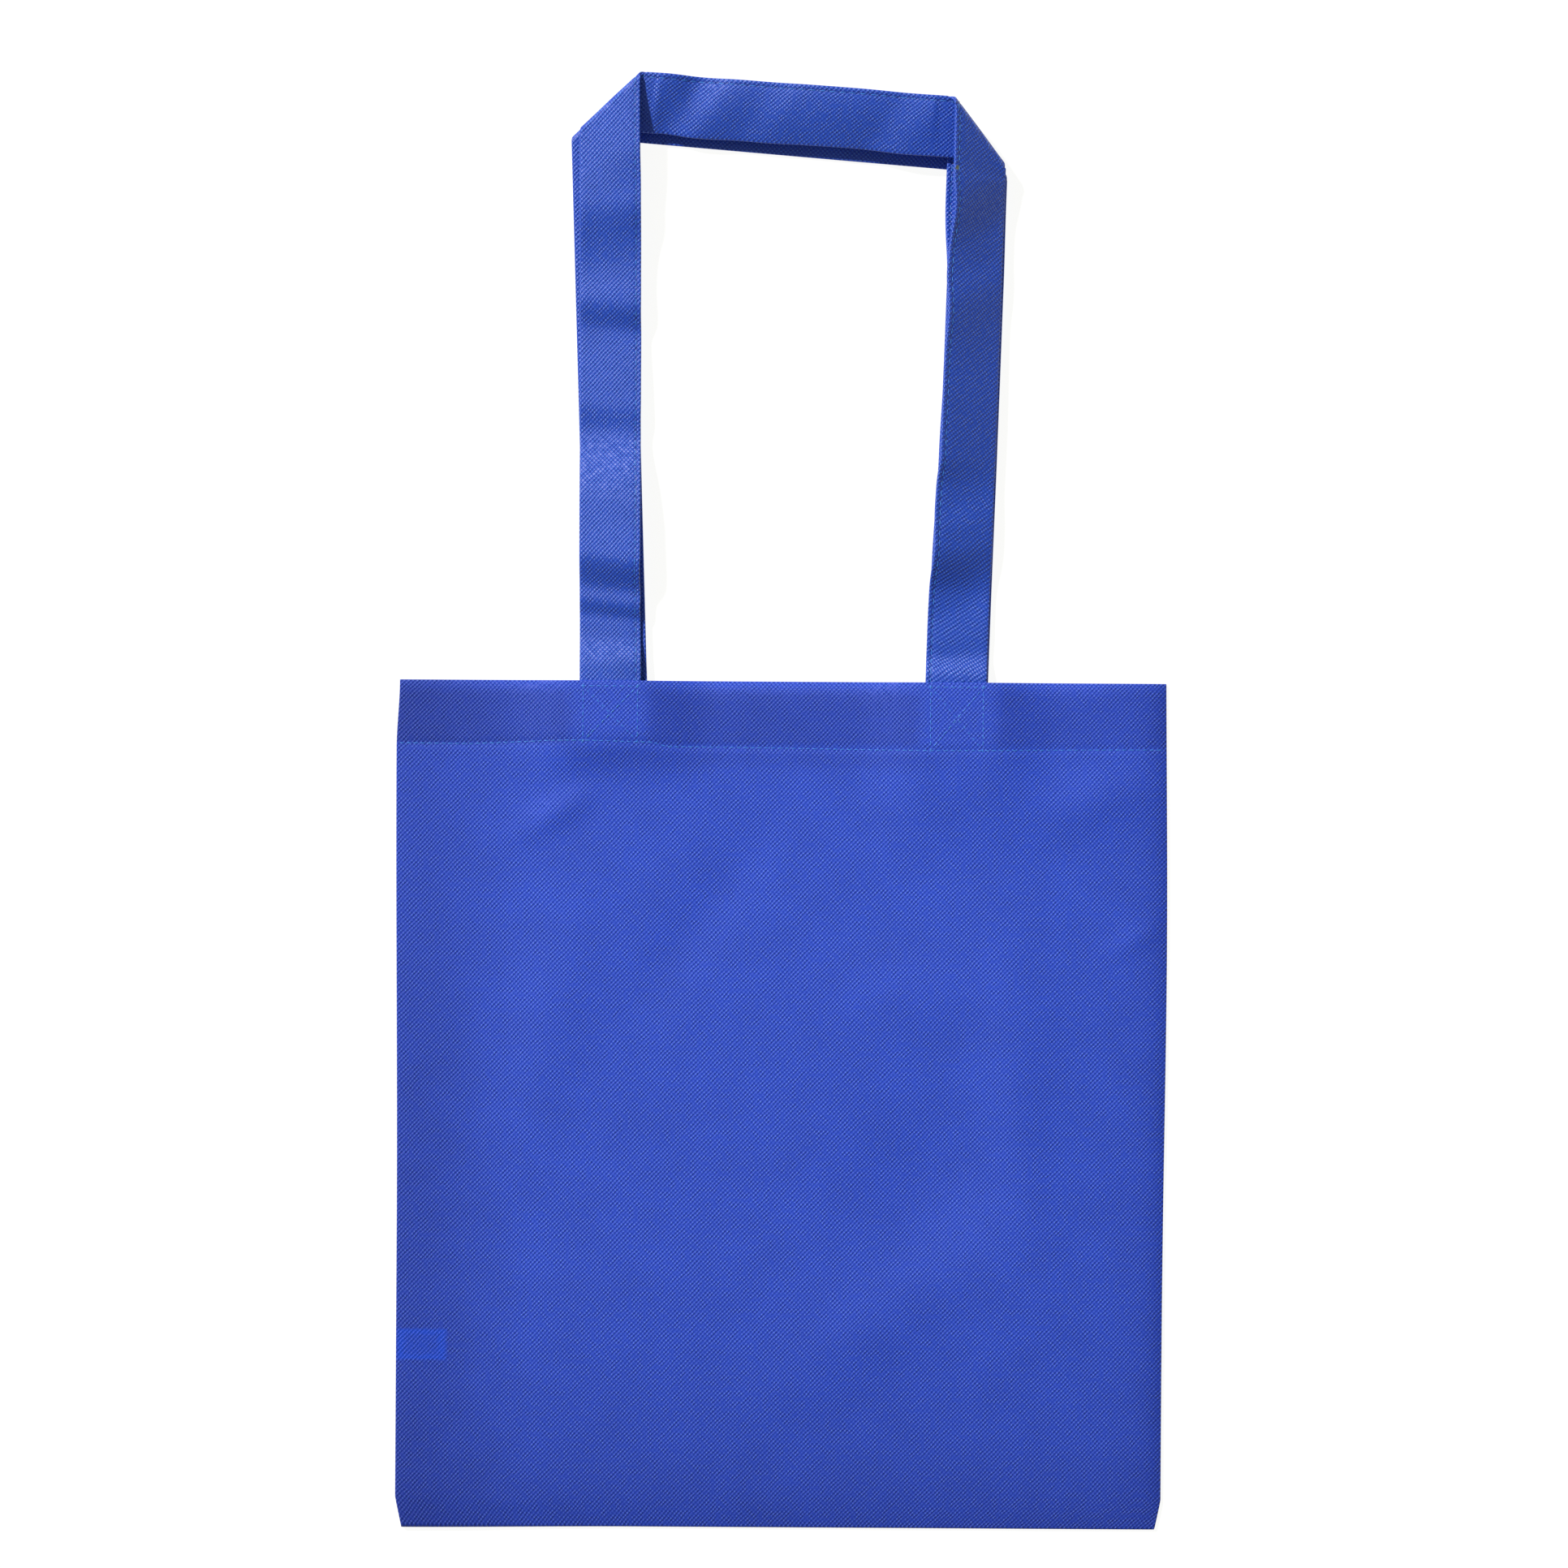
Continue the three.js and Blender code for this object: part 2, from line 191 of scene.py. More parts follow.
# %% [markdown]
# ## Spunbond polypropylene, pressed with bond points
#
# Spunbond cloth is made by blowing hot plastic fibres onto a belt and pressing the web between a
# smooth roller and one with rows of small pins. The pins leave a staggered grid of dents, and between
# them the loose fibres stand up as little pillows. Three things tell the eye that this is not woven:
# the pillows catch the light in slanting rows, no two of them are equally bright, and the web is
# cloudy, a little thicker here and thinner there. The grid is the product of two cosines, which is
# cheap and tiles forever, and it drives both the colour and a bump. The tone attribute, painted on
# each sheet below, says what lies behind the thin cloth, because more layers of blue make it darker
# and deeper in colour. It also carries painted shade: broad bands on the body and a dark line in
# each strap's stitch groove, and the body's upper part is painted a little lighter.

# %% Cloth material
PIN_ACROSS = 1.95 * MM
PIN_ALONG = 2.06 * MM
# The real grid is almost too fine for the picture, so it is drawn a tenth coarser.
PIN_COARSER = 1.1
PILLOW_HEIGHT = 0.19 * MM
# The rows of pillows wander: their drift changes over this length and stays within this reach.
WANDER_LENGTH = 9 * MM
WANDER_REACH = 0.9 * MM
FIBRE_GRAIN = 0.7 * MM
FULLNESS_SIZE = 2.6 * MM
CLOUD_SIZE = 22 * MM
# A noise texture seldom leaves this range, which is stretched over the ranges after it.
NOISE_RANGE = (0.3, 0.7)
PILLOW_FULLNESS = (0.45, 1.25)
CLOUD_SHADES = (0.95, 1.05)
# How much pillows and fibres move the colour from dark to bright, and how high fibres stand on pillows
PILLOW_SHADE = 0.36
FIBRE_SHADE = 0.55
FIBRE_RELIEF = 0.5
# Dark, middle and bright blue, and where each lies between dark and bright. The strips come from
# another roll, a little greener and glossier.
BLUE_STOPS = (0.12, 0.5, 0.95)
BODY_BLUES = ("#1331A9", "#2545BC", "#567ADB")
STRAP_BLUES = ("#082EA0", "#1745B6", "#507ED8")
BODY_ROUGHNESS = 0.54
STRAP_ROUGHNESS = 0.47
BODY_GLOSS = 0.35
STRAP_GLOSS = 0.58
POLYPROPYLENE_IOR = 1.49
# Layers behind the cloth swallow more red and green than blue, and the painted shade in the tone is tinted
# the same way.
DARKENING_TINT = (1.25, 1.1, 0.9)
# The label's glow: where its outline fades and its rim starts, as shares of its size, and its strengths
LABEL_GLOW = "#0A48D0"
PATCH_OUTLINE = (0.85, 1.1)
PATCH_RIM = (0.5, 0.8)
PATCH_STRENGTHS = (0.35, 0.6)
SPOT = (84.6 * MM, 312.5 * MM)
SPOT_RADIUS = 1.2 * MM
SPOT_COLOUR = "#6E7440"
SPOT_STRENGTH = 0.85


def label_patch(tree, colour):
    """The white label inside brightens the thin cloth over it, most of all near its folded edges."""
    place = add(tree, "ShaderNodeTexCoord").outputs["Object"]
    left = BODY_LOW.x
    centre = ((left + LABEL_HIGH.x) / 2, (LABEL_LOW.y + LABEL_HIGH.y) / 2, 0.0)
    half = ((LABEL_HIGH.x - left) / 2, (LABEL_HIGH.y - LABEL_LOW.y) / 2, 1.0)
    offset = add(tree, "ShaderNodeVectorMath", {0: place, 1: centre}, operation="SUBTRACT")
    shares = add(tree, "ShaderNodeVectorMath", {0: offset, 1: half}, operation="DIVIDE")
    sizes = add(tree, "ShaderNodeVectorMath", {0: shares}, operation="ABSOLUTE")
    axes = add(tree, "ShaderNodeSeparateXYZ", {0: sizes}).outputs
    edge = add(tree, "ShaderNodeMath", {0: axes["X"], 1: axes["Y"]}, operation="MAXIMUM")
    inside, rim = (
        add(tree, "ShaderNodeMapRange", {0: edge, 1: start, 2: end, 3: inner, 4: outer},
            interpolation_type="SMOOTHSTEP")
        for (start, end), (inner, outer) in ((PATCH_OUTLINE, (1.0, 0.0)), (PATCH_RIM, PATCH_STRENGTHS)))
    share = add(tree, "ShaderNodeMath", {0: inside, 1: rim}, operation="MULTIPLY")
    return add(tree, "ShaderNodeMix", {0: share, 6: colour, 7: linear(LABEL_GLOW)},
               data_type="RGBA").outputs[2]


def dried_spot(tree, colour):
    """One small dried spot of dirt beside the stitches, near the right corner of the handle."""
    place = add(tree, "ShaderNodeTexCoord").outputs["Object"]
    ragged = add(tree, "ShaderNodeTexNoise", {"Vector": place, "Scale": 1 / SPOT_RADIUS, "Detail": 1.0})
    flattened = add(tree, "ShaderNodeVectorMath", {0: place, 1: (1.0, 1.0, 0.0)}, operation="MULTIPLY")
    away = add(tree, "ShaderNodeVectorMath", {0: flattened, 1: (*SPOT, 0.0)}, operation="DISTANCE")
    reach = add(tree, "ShaderNodeMath", {0: ragged, 1: 2 * SPOT_RADIUS}, operation="MULTIPLY")
    within = add(tree, "ShaderNodeMath", {0: reach, 1: away.outputs["Value"]}, operation="SUBTRACT")
    dirty = add(tree, "ShaderNodeMapRange", {0: within, 2: SPOT_RADIUS / 2, 4: SPOT_STRENGTH})
    return add(tree, "ShaderNodeMix", {0: dirty, 6: colour, 7: linear(SPOT_COLOUR)},
               data_type="RGBA").outputs[2]


def spunbond(name, blues, roughness, gloss, marks):
    """Spunbond polypropylene: matt fibres, small pressed pillows in slanting rows, a cloudy web."""
    material, tree = new_material(name)
    sheet = add(tree, "ShaderNodeUVMap", uv_map="cloth").outputs["UV"]
    wobble = add(tree, "ShaderNodeTexNoise", {"Vector": sheet, "Scale": 1 / WANDER_LENGTH, "Detail": 1.0})
    off_centre = add(tree, "ShaderNodeVectorMath", {0: wobble.outputs["Color"], 1: (0.5, 0.5, 0.5)},
                     operation="SUBTRACT")
    drift = add(tree, "ShaderNodeVectorMath", {0: off_centre, "Scale": WANDER_REACH}, operation="SCALE")
    wandering = add(tree, "ShaderNodeVectorMath", {0: sheet, 1: drift}, operation="ADD")
    place = add(tree, "ShaderNodeSeparateXYZ", {0: wandering})
    waves = []
    for axis, spacing in (("X", PIN_ACROSS), ("Y", PIN_ALONG)):
        turns = 2 * math.pi / (spacing * PIN_COARSER)
        angle = add(tree, "ShaderNodeMath", {0: place.outputs[axis], 1: turns}, operation="MULTIPLY")
        waves.append(add(tree, "ShaderNodeMath", {0: angle}, operation="COSINE"))
    grid = add(tree, "ShaderNodeMath", {0: waves[0], 1: waves[1]}, operation="MULTIPLY")

    fibres, fullness, clouds = (
        add(tree, "ShaderNodeTexNoise", {"Vector": sheet, "Scale": 1 / size, "Detail": detail})
        for size, detail in ((FIBRE_GRAIN, 2.0), (FULLNESS_SIZE, 0.0), (CLOUD_SIZE, 4.0)))
    low, high = NOISE_RANGE
    fuller, cloudy = (
        add(tree, "ShaderNodeMapRange", {0: noise, 1: low, 2: high, 3: least, 4: most})
        for noise, (least, most) in ((fullness, PILLOW_FULLNESS), (clouds, CLOUD_SHADES)))
    pillows = add(tree, "ShaderNodeMath", {0: grid, 1: fuller}, operation="MULTIPLY")
    shade = add(tree, "ShaderNodeMath", {0: fibres, 1: FIBRE_SHADE, 2: -FIBRE_SHADE / 2},
                operation="MULTIPLY_ADD")
    level = add(tree, "ShaderNodeMath", {0: pillows, 1: PILLOW_SHADE, 2: shade}, operation="MULTIPLY_ADD")
    lifted = add(tree, "ShaderNodeMath", {0: level, 1: 0.5}, operation="ADD")
    ramp = add(tree, "ShaderNodeValToRGB", {0: lifted})
    stops = ramp.color_ramp.elements
    stops.new(BLUE_STOPS[1])
    for stop, position, blue in zip(stops, BLUE_STOPS, blues):
        stop.position = position
        stop.color = linear(blue)

    # The tone: layers behind the cloth, plus painted shade and painted light
    layers_and_shade = add(tree, "ShaderNodeAttribute", attribute_name="tone")
    rest = tuple(1 - tint for tint in DARKENING_TINT)
    deeper = add(tree, "ShaderNodeVectorMath", {0: layers_and_shade.outputs["Fac"], 1: DARKENING_TINT, 2: rest},
                 operation="MULTIPLY_ADD")
    tinted = add(tree, "ShaderNodeVectorMath", {0: ramp, 1: deeper}, operation="MULTIPLY")
    colour = add(tree, "ShaderNodeVectorMath", {0: tinted, "Scale": cloudy}, operation="SCALE")

    relief = add(tree, "ShaderNodeMath", {0: fibres, 1: FIBRE_RELIEF, 2: pillows}, operation="MULTIPLY_ADD")
    bump = add(tree, "ShaderNodeBump", {"Height": relief, "Distance": PILLOW_HEIGHT, "Strength": 1.0})
    surface = add(tree, "ShaderNodeBsdfPrincipled",
                  {"Base Color": marks(tree, colour), "Normal": bump, "Roughness": roughness,
                   "IOR": POLYPROPYLENE_IOR, "Specular IOR Level": gloss})
    add(tree, "ShaderNodeOutputMaterial", {"Surface": surface})
    return material


body_cloth = spunbond("spunbond_polypropylene_body", BODY_BLUES, BODY_ROUGHNESS, BODY_GLOSS, label_patch)
print("material:", body_cloth.name, "with", len(body_cloth.node_tree.nodes), "nodes")

# %% [markdown]
# ## The bag's body, one folded piece of cloth
#
# On the real bag the body is a single piece. It starts at the raw edge of the front hem inside the
# bag, goes up, over the mouth, down the front, round the bottom fold, up the back and over the mouth
# into the back hem. At both sides its edges turn inwards as seam allowances. A modeller could push
# two planes together, but then every edge would be knife sharp and empty. Here the sheet is a grid
# whose rows follow that long path and whose columns follow the path across, hairpins included, and a
# Solidify modifier gives it the cloth's thickness. The height of the front panel is a short formula:
# the closed edges, a quick rise behind the seams, and a few gentle hills where the cloth has been
# folded and handled.

# %% Sizes of the body
# The cloth, the spacing of its layers and the radius of its tightest folds
CLOTH = 0.4 * MM
LAYER = 0.5 * MM
TURN = LAYER / 2

# Outline, hem and seams
HALF_WIDTH = BODY_HIGH.x
MOUTH = BODY_HIGH.y
BOTTOM = BODY_LOW.y
HEM_DEPTH = 34 * MM
HEM_ROW = 31.6 * MM
SEAM_ALLOWANCE = 8 * MM
BOTTOM_TURN = 0.75 * MM

# Side edges: tucked in at the bottom corners, with a slight bulge on each side
TUCK = 3 * MM
TUCK_HEIGHT = 14 * MM
LEFT_BULGE = 1.5 * MM
LEFT_BULGE_REACH = 8 * HEM_DEPTH
RIGHT_BULGE = 1.6 * MM
RIGHT_BULGE_PLACE = -70 * MM
RIGHT_BULGE_REACH = 120 * MM

# Front panel: its edges, a quick rise behind them, a slow one further in, and a lifted left side
EDGE_HEIGHT = 1.9 * MM
QUICK_RISE = 1.5 * MM
QUICK_REACH = 5 * MM
BOTTOM_ROLL = 13 * MM
SLOW_RISE = 2.2 * MM
RIGHT_REACH = 90 * MM
LONG_REACH = 120 * MM
LEFT_LIFT = 1.7 * MM
LEFT_LESS = 1.1 * MM

# Front panel: raised over the strap ends, dipped at the mouth between them, grooved by the hem's row
STRAP_ENDS = (-86 * MM, 87 * MM)
STRAP_END_STARTS = (55 * MM, 100 * MM)
STRAP_END_TOP = 25 * MM
STRAP_END_HALF = 15 * MM
STRAP_END_FALL = 36 * MM
STRAP_END_RISE = 3.5 * MM
MOUTH_DIP = 2.2 * MM
MOUTH_REACH = 3.6 * MM
GROOVE = 0.25 * MM
GROOVE_WIDTH = 1.6 * MM

# Back panel: a faint ripple, given by its height and its two lengths
BACK_RISE = 0.25 * MM
RIPPLE = 0.15 * MM
RIPPLE_ACROSS = 31 * MM
RIPPLE_ALONG = 43 * MM

# How far the hem's stitch row strays up or down, as (place across, distance), in millimetres
HEM_WANDER = [(-190, 0.3), (-160, 0.1), (-102, 2.1), (-66, 1.4), (-56, -0.9), (76, -2), (190, -1.1)]

# Gentle hills of the front panel: place, radii, turn and height, in millimetres and degrees
FRONT_HILLS = [
    ((-111, -6), (21, 7), 31, 1.6),
    ((-80, 18), (34, 10), 35, -0.5),
    ((154, 0), (28, 14), 15, 1.6),
    ((66, -98), (34, 20), 5, 0.9),
    ((74, -192), (34, 40), 20, -2.4),
    ((118, -140), (14, 60), 4, 1.1),
    ((50, -258), (70, 20), 36, 1.1),
    ((-40, -60), (14, 50), -35, -1),
    ((-114, -110), (18, 60), -10, 1),
    ((177, -68), (16, 5), 30, 0.8),
    ((-134, -350), (15, 2.6), -4, 0.5),
]


def half_width(x, y):
    """How far the side edge lies from the middle. The left edge bulges below the hem, the right lower."""
    width = HALF_WIDTH - TUCK * (1 - np.clip((y - BOTTOM) / TUCK_HEIGHT, 0, 1))
    below_hem = 1 - fade(MOUTH - y, HEM_DEPTH, LEFT_BULGE_REACH)
    left = LEFT_BULGE * fade(MOUTH - y, 0, HEM_DEPTH) * below_hem
    right = RIGHT_BULGE * np.exp(-(((y - RIGHT_BULGE_PLACE) / RIGHT_BULGE_REACH) ** 2))
    return width + np.where(x < 0, left, right)


def hem_line(x):
    """The hem's stitch row, sewn by hand and eye: it climbs to the left box and falls off behind it."""
    return along_keys(x, HEM_WANDER) + MOUTH - HEM_ROW


def over_strap_ends(x, y):
    """1 over the sewn-in ends of the straps, falling to 0 beside and below them."""
    reach = STRAP_END_HALF + STRAP_END_FALL
    return sum(
        fade(np.abs(x - middle), reach, STRAP_END_HALF) * fade(y, MOUTH - start, MOUTH - STRAP_END_TOP)
        for middle, start in zip(STRAP_ENDS, STRAP_END_STARTS))


def front_height(x, y):
    """Height of the middle of the front panel's cloth."""
    from_side = np.maximum(half_width(x, y) - np.abs(x), 0)
    from_bottom = np.maximum(y - BOTTOM, 0)
    quick = (1 - np.exp(-from_side / QUICK_REACH)) * (1 - np.exp(-from_bottom / BOTTOM_ROLL))
    slow = fade(from_side, 0, np.where(x < 0, LONG_REACH, RIGHT_REACH)) * fade(from_bottom, 0, LONG_REACH)
    near_left = 1 - fade(x, -HALF_WIDTH, LONG_REACH - HALF_WIDTH)
    height = EDGE_HEIGHT + LEFT_LIFT * near_left + SLOW_RISE * slow
    height = height + (QUICK_RISE - LEFT_LESS * near_left) * quick
    strap_ends = over_strap_ends(x, y)
    dip = MOUTH_DIP * fade(from_side, 0, RIGHT_REACH) * np.exp(-np.maximum(MOUTH - y, 0) / MOUTH_REACH)
    height = height + STRAP_END_RISE * strap_ends - dip * (1 - strap_ends)
    for place, radii, turn, rise in FRONT_HILLS:
        centre = np.array(place) * MM
        height = height + rise * MM * quick * hill(x, y, centre, np.array(radii) * MM, turn)
    groove = np.exp(-(((y - hem_line(x)) / GROOVE_WIDTH) ** 2))
    return height - GROOVE * quick * groove


def back_height(x, y):
    """Height of the middle of the back panel's cloth, which lies on the floor."""
    ripple = RIPPLE * (1 + np.sin(x / RIPPLE_ACROSS) * np.sin(y / RIPPLE_ALONG))
    from_edge = np.minimum(half_width(x, y) - np.abs(x), y - BOTTOM)
    return CLOTH / 2 + BACK_RISE + ripple * fade(from_edge, 0, RIGHT_REACH)


middle_height = float(front_height(0.0, (MOUTH + BOTTOM) / 2))
print("front panel height in the middle:", round(middle_height / MM, 2), "mm")

# %% Rows and columns of the folded sheet
COLUMN_STEP = 3.4 * MM
ROW_STEP = 3.4 * MM
TURN_STEPS = 6
ALLOWANCE_COLUMNS = 5
HEM_ROW_COUNT = 10
HEM_SIDE_GAP = 1 * MM
# Columns lie closer near the side edges, and rows near the bottom and the hem's row, where cloth bends
EDGE_COLUMNS = np.array([0, 0.4, 1, 1.8, 2.8, 4, 5.5, 7.5, 10, 13]) * MM
BOTTOM_ROWS = np.array([0, 0.5, 1.2, 2.2, 3.6, 5.4, 7.6, 10.5]) * MM
GROOVE_ROWS = np.array([-5, -4, -3, -2, -1, 0, 1, 2, 3, 4]) * MM
GROOVE_CLEAR = 6.5 * MM

half_turn = np.linspace(0, math.pi, TURN_STEPS + 1)
inner_angles = half_turn[1:-1]
panel_reach = HALF_WIDTH - TURN
even_reach = panel_reach - EDGE_COLUMNS[-1]
even_columns = np.linspace(-even_reach, even_reach, int(round(2 * even_reach / COLUMN_STEP)) + 1)
right_columns = panel_reach - EDGE_COLUMNS[:-1]
panel_columns = np.concatenate([-right_columns, even_columns, right_columns[::-1]])

# Each side's hairpin: how far the cloth lies inside the bag's edge, how deep, and its length so far
allowance_insets = np.linspace(SEAM_ALLOWANCE, TURN, ALLOWANCE_COLUMNS)
pin_angles = inner_angles[::-1]
pin_inset = np.concatenate([allowance_insets, TURN - TURN * np.sin(pin_angles)])
pin_depth = np.concatenate([np.full(ALLOWANCE_COLUMNS, LAYER), TURN - TURN * np.cos(pin_angles)])
pin_length = np.concatenate([allowance_insets - TURN + math.pi * TURN, TURN * pin_angles])

no_pin = np.zeros(len(panel_columns))
one_side = np.ones(len(pin_inset))
column_side = np.concatenate([-one_side, no_pin, one_side])
column_inset = np.concatenate([pin_inset, no_pin, pin_inset[::-1]])
column_depth = np.concatenate([pin_depth, no_pin, pin_depth[::-1]])
column_panel = np.concatenate([0 * one_side, panel_columns, 0 * one_side])
column_u = np.concatenate([-panel_reach - pin_length, panel_columns, (panel_reach + pin_length)[::-1]])
hem_reach = HALF_WIDTH - SEAM_ALLOWANCE - HEM_SIDE_GAP
hem_columns = (column_side == 0) & (np.abs(column_panel) < hem_reach)


def column_x(y):
    """Where every column lies across, in rows at these heights along the bag."""
    reach = half_width(column_u, y)
    return column_side * (reach - column_inset) + column_panel * reach / HALF_WIDTH


def flat_rows(heights, surface, inward, depth):
    """Rows of a panel or a hem. Inward is the direction of the bag's inside, along Z."""
    y = heights[:, None]
    x = column_x(y)
    return np.dstack([x, y + 0 * x, surface(x, y) + inward * depth])


def mouth_turn(surface, inward, angles):
    """The fold over the mouth, from the panel at angle 0 to the hem inside at half a turn."""
    x = column_x(np.full((len(angles), 1), MOUTH))
    depth = TURN * (1 - np.cos(angles[:, None])) + column_depth
    y = MOUTH - TURN + TURN * np.sin(angles[:, None]) + 0 * x
    return np.dstack([x, y, surface(x, MOUTH + 0 * x) + inward * depth])


def bottom_turn(angles):
    """The fold at the bottom, from the front panel at angle 0 to the back panel at half a turn."""
    x = column_x(np.full((len(angles), 1), BOTTOM))
    low, high = (surface(x, BOTTOM + BOTTOM_TURN + 0 * x) for surface in (back_height, front_height))
    reach = (high - low) / 2 - column_depth
    y = BOTTOM + BOTTOM_TURN - reach * np.sin(angles[:, None])
    return np.dstack([x, y, (high + low) / 2 + reach * np.cos(angles[:, None])])


panel_top = MOUTH - TURN
panel_end = BOTTOM + BOTTOM_TURN
row_count = int(round((panel_top - panel_end) / ROW_STEP))
bottom_rows = panel_end + BOTTOM_ROWS
even_rows = np.linspace(bottom_rows[-1], panel_top, row_count)[1:]
even_rows = even_rows[np.abs(even_rows - (MOUTH - HEM_ROW)) > GROOVE_CLEAR]
panel_rows = np.sort(np.concatenate([bottom_rows, even_rows, MOUTH - HEM_ROW + GROOVE_ROWS]))[::-1]
hem_rows = np.linspace(MOUTH - HEM_DEPTH, panel_top, HEM_ROW_COUNT)
over_top = inner_angles[: TURN_STEPS // 2]
into_bag = inner_angles[TURN_STEPS // 2 :]
all_columns = np.ones(len(column_u), bool)

# The blocks of rows in order, each with the columns that it has
blocks = [
    (flat_rows(hem_rows, front_height, -1, LAYER), hem_columns),
    (mouth_turn(front_height, -1, into_bag[::-1]), hem_columns),
    (mouth_turn(front_height, -1, over_top[::-1]), all_columns),
    (flat_rows(panel_rows, front_height, -1, column_depth), all_columns),
    (bottom_turn(inner_angles), all_columns),
    (flat_rows(panel_rows[::-1], back_height, 1, column_depth), all_columns),
    (mouth_turn(back_height, 1, over_top), all_columns),
    (mouth_turn(back_height, 1, into_bag), hem_columns),
    (flat_rows(hem_rows[::-1], back_height, 1, LAYER), hem_columns),
]
body_points = np.concatenate([block for block, _ in blocks])
body_used = np.concatenate([np.tile(columns, (len(block), 1)) for block, columns in blocks])
row_v = length_along(body_points[:, len(column_u) // 2])
body_uv = np.dstack(np.broadcast_arrays(column_u[None, :], -row_v[:, None]))
print("sheet of the body:", round(np.ptp(column_u) / MM), "by", round(row_v[-1] / MM), "mm")

# %% [markdown]
# ### What lies behind the cloth, and painted shade
#
# Thin spunbond lets some light through, so each part of the panel is tinted by what is behind it.
# Along the sides the seam allowances, at the mouth the hem and at the bottom the back panel close
# behind make it darker. Painted shade comes on top of that: a broad band along the left side, more
# darkening towards the bottom and a faint line below the hem's raw edge. The upper half is painted a
# little lighter, and over the strap ends the hem's darkening is left out. The tone is painted once as
# a number on each point, and the material multiplies its colour by it, red most and blue least.

# %% Tone of the body
# A tone is how much of the light its layers swallow or how much painted shade it adds, an ease how
# much of that is given back, and a fade where a tone starts and ends.
# Painted light: the upper part of the panel is painted a little lighter.
UPPER_PAINTED_LIGHT = 0.05
UPPER_FADE = (-200 * MM, 0)
# Along the left side: the seam allowance behind the cloth and a painted shade that reaches far past it.
LEFT_SEAM_AND_SHADE_TONE = 0.27
LEFT_SEAM_FADE = (4 * MM, 68 * MM)
LEFT_SEAM_EASE = 0.35
RIGHT_SEAM_TONE = 0.22
RIGHT_SEAM_REACH = 14 * MM
# Darker towards the bottom: the bottom fold behind the cloth and a painted shade.
BOTTOM_LAYERS_AND_SHADE_TONE = 0.36
BOTTOM_REACH = 60 * MM
HEM_TONE = 0.23
HEM_START_FADE = (1 * MM, 7 * MM)
HEM_ROW_FADE = (HEM_ROW - 2 * MM, HEM_ROW + 1 * MM)
HEM_RIGHT_FADE = (100 * MM, 130 * MM)
HEM_RIGHT_EASE = 0.5
# Between the straps, a faint painted shade below the hem's raw edge, where the facing ends in a step
HEM_END_PAINTED_SHADE = 0.14
HEM_END_PLACE = HEM_DEPTH + 4 * MM
HEM_END_WIDTH = 5 * MM
HEM_END_FADE = (110 * MM, 60 * MM)
UNDER_STRAP_FADE = (24 * MM, 15 * MM)


def body_layers_and_shade(points):
    """How much of its light each point of the body keeps: by what lies behind it, by painted shade and by
    painted light.
    """
    x, y = points[..., 0], points[..., 1]
    from_side = half_width(x, y) - np.abs(x)
    from_mouth = MOUTH - y
    upper = fade(y, *UPPER_FADE)
    below_hem = fade(from_mouth, *HEM_ROW_FADE)
    # Seam allowance and painted shade along the left side
    left_seam_and_shade = LEFT_SEAM_AND_SHADE_TONE * (1 - fade(from_side, *LEFT_SEAM_FADE))
    left_seam_and_shade = left_seam_and_shade * (1 - LEFT_SEAM_EASE * upper * below_hem)
    right_seam = RIGHT_SEAM_TONE * np.exp(-from_side / RIGHT_SEAM_REACH)
    seam = np.where(x < 0, left_seam_and_shade, right_seam)
    # Bottom fold behind the cloth and painted shade towards the bottom
    bottom_layers_and_shade = BOTTOM_LAYERS_AND_SHADE_TONE * np.exp(-(y - BOTTOM) / BOTTOM_REACH)
    hem = HEM_TONE * fade(from_mouth, *HEM_START_FADE) * (1 - below_hem)
    hem = hem * (1 - HEM_RIGHT_EASE * fade(x, *HEM_RIGHT_FADE))
    # Painted shade below the hem's raw edge
    hem_end_painted_shade = HEM_END_PAINTED_SHADE * np.exp(-(((from_mouth - HEM_END_PLACE) / HEM_END_WIDTH) ** 2))
    hem_end_painted_shade = hem_end_painted_shade * fade(np.abs(x), *HEM_END_FADE)
    under_straps = sum(fade(np.abs(x - middle), *UNDER_STRAP_FADE) for middle in STRAP_ENDS)
    # Painted light on the upper part
    painted_upper_light = 1 + UPPER_PAINTED_LIGHT * upper
    return painted_upper_light * (1 - seam) * (1 - bottom_layers_and_shade) * (1 - hem * (1 - under_straps)) * (1 - hem_end_painted_shade)


body = cloth_from_grid("bag_body_cloth", body_points, body_uv, body_layers_and_shade(body_points), body_used)
give_thickness(body, CLOTH)
body.data.materials.append(body_cloth)

# %% [markdown]
# ## The handles, strips folded in four
#
# Each handle starts as a strip about 80 mm wide. Both raw edges are turned in, the strip is folded in
# half, and one row of stitches along the open edge holds the four layers together. So one edge of a
# strap is a soft fold and the other shows two lips side by side. The handle leaves the bag, runs up,
# turns over on itself at a slanting crease, crosses to the other side and comes back down the same
# way. Modelling that by hand would be slow and uneven. A ribbon is easier: a list of stations along
# the handle, each with the place of the open edge, the place of the folded edge and the direction the
# strap faces. The section of the strip is then laid out at every station.

# %% Sizes of the handles
# The strip and the heights of its layers above its underside
STRAP_WIDTH = 30 * MM
STRAP_LIP = 10 * MM
STRAP_TAIL = 30 * MM
STRAP_STACK = 1.9 * MM
LOWER_FACE = 0.2 * MM
UPPER_FACE = 1.7 * MM
LIP_HEIGHTS = (0.7 * MM, 1.2 * MM)
LIP_TURN_HEIGHTS = (0.45 * MM, 1.45 * MM)
FOLD_TURN = 0.4 * MM

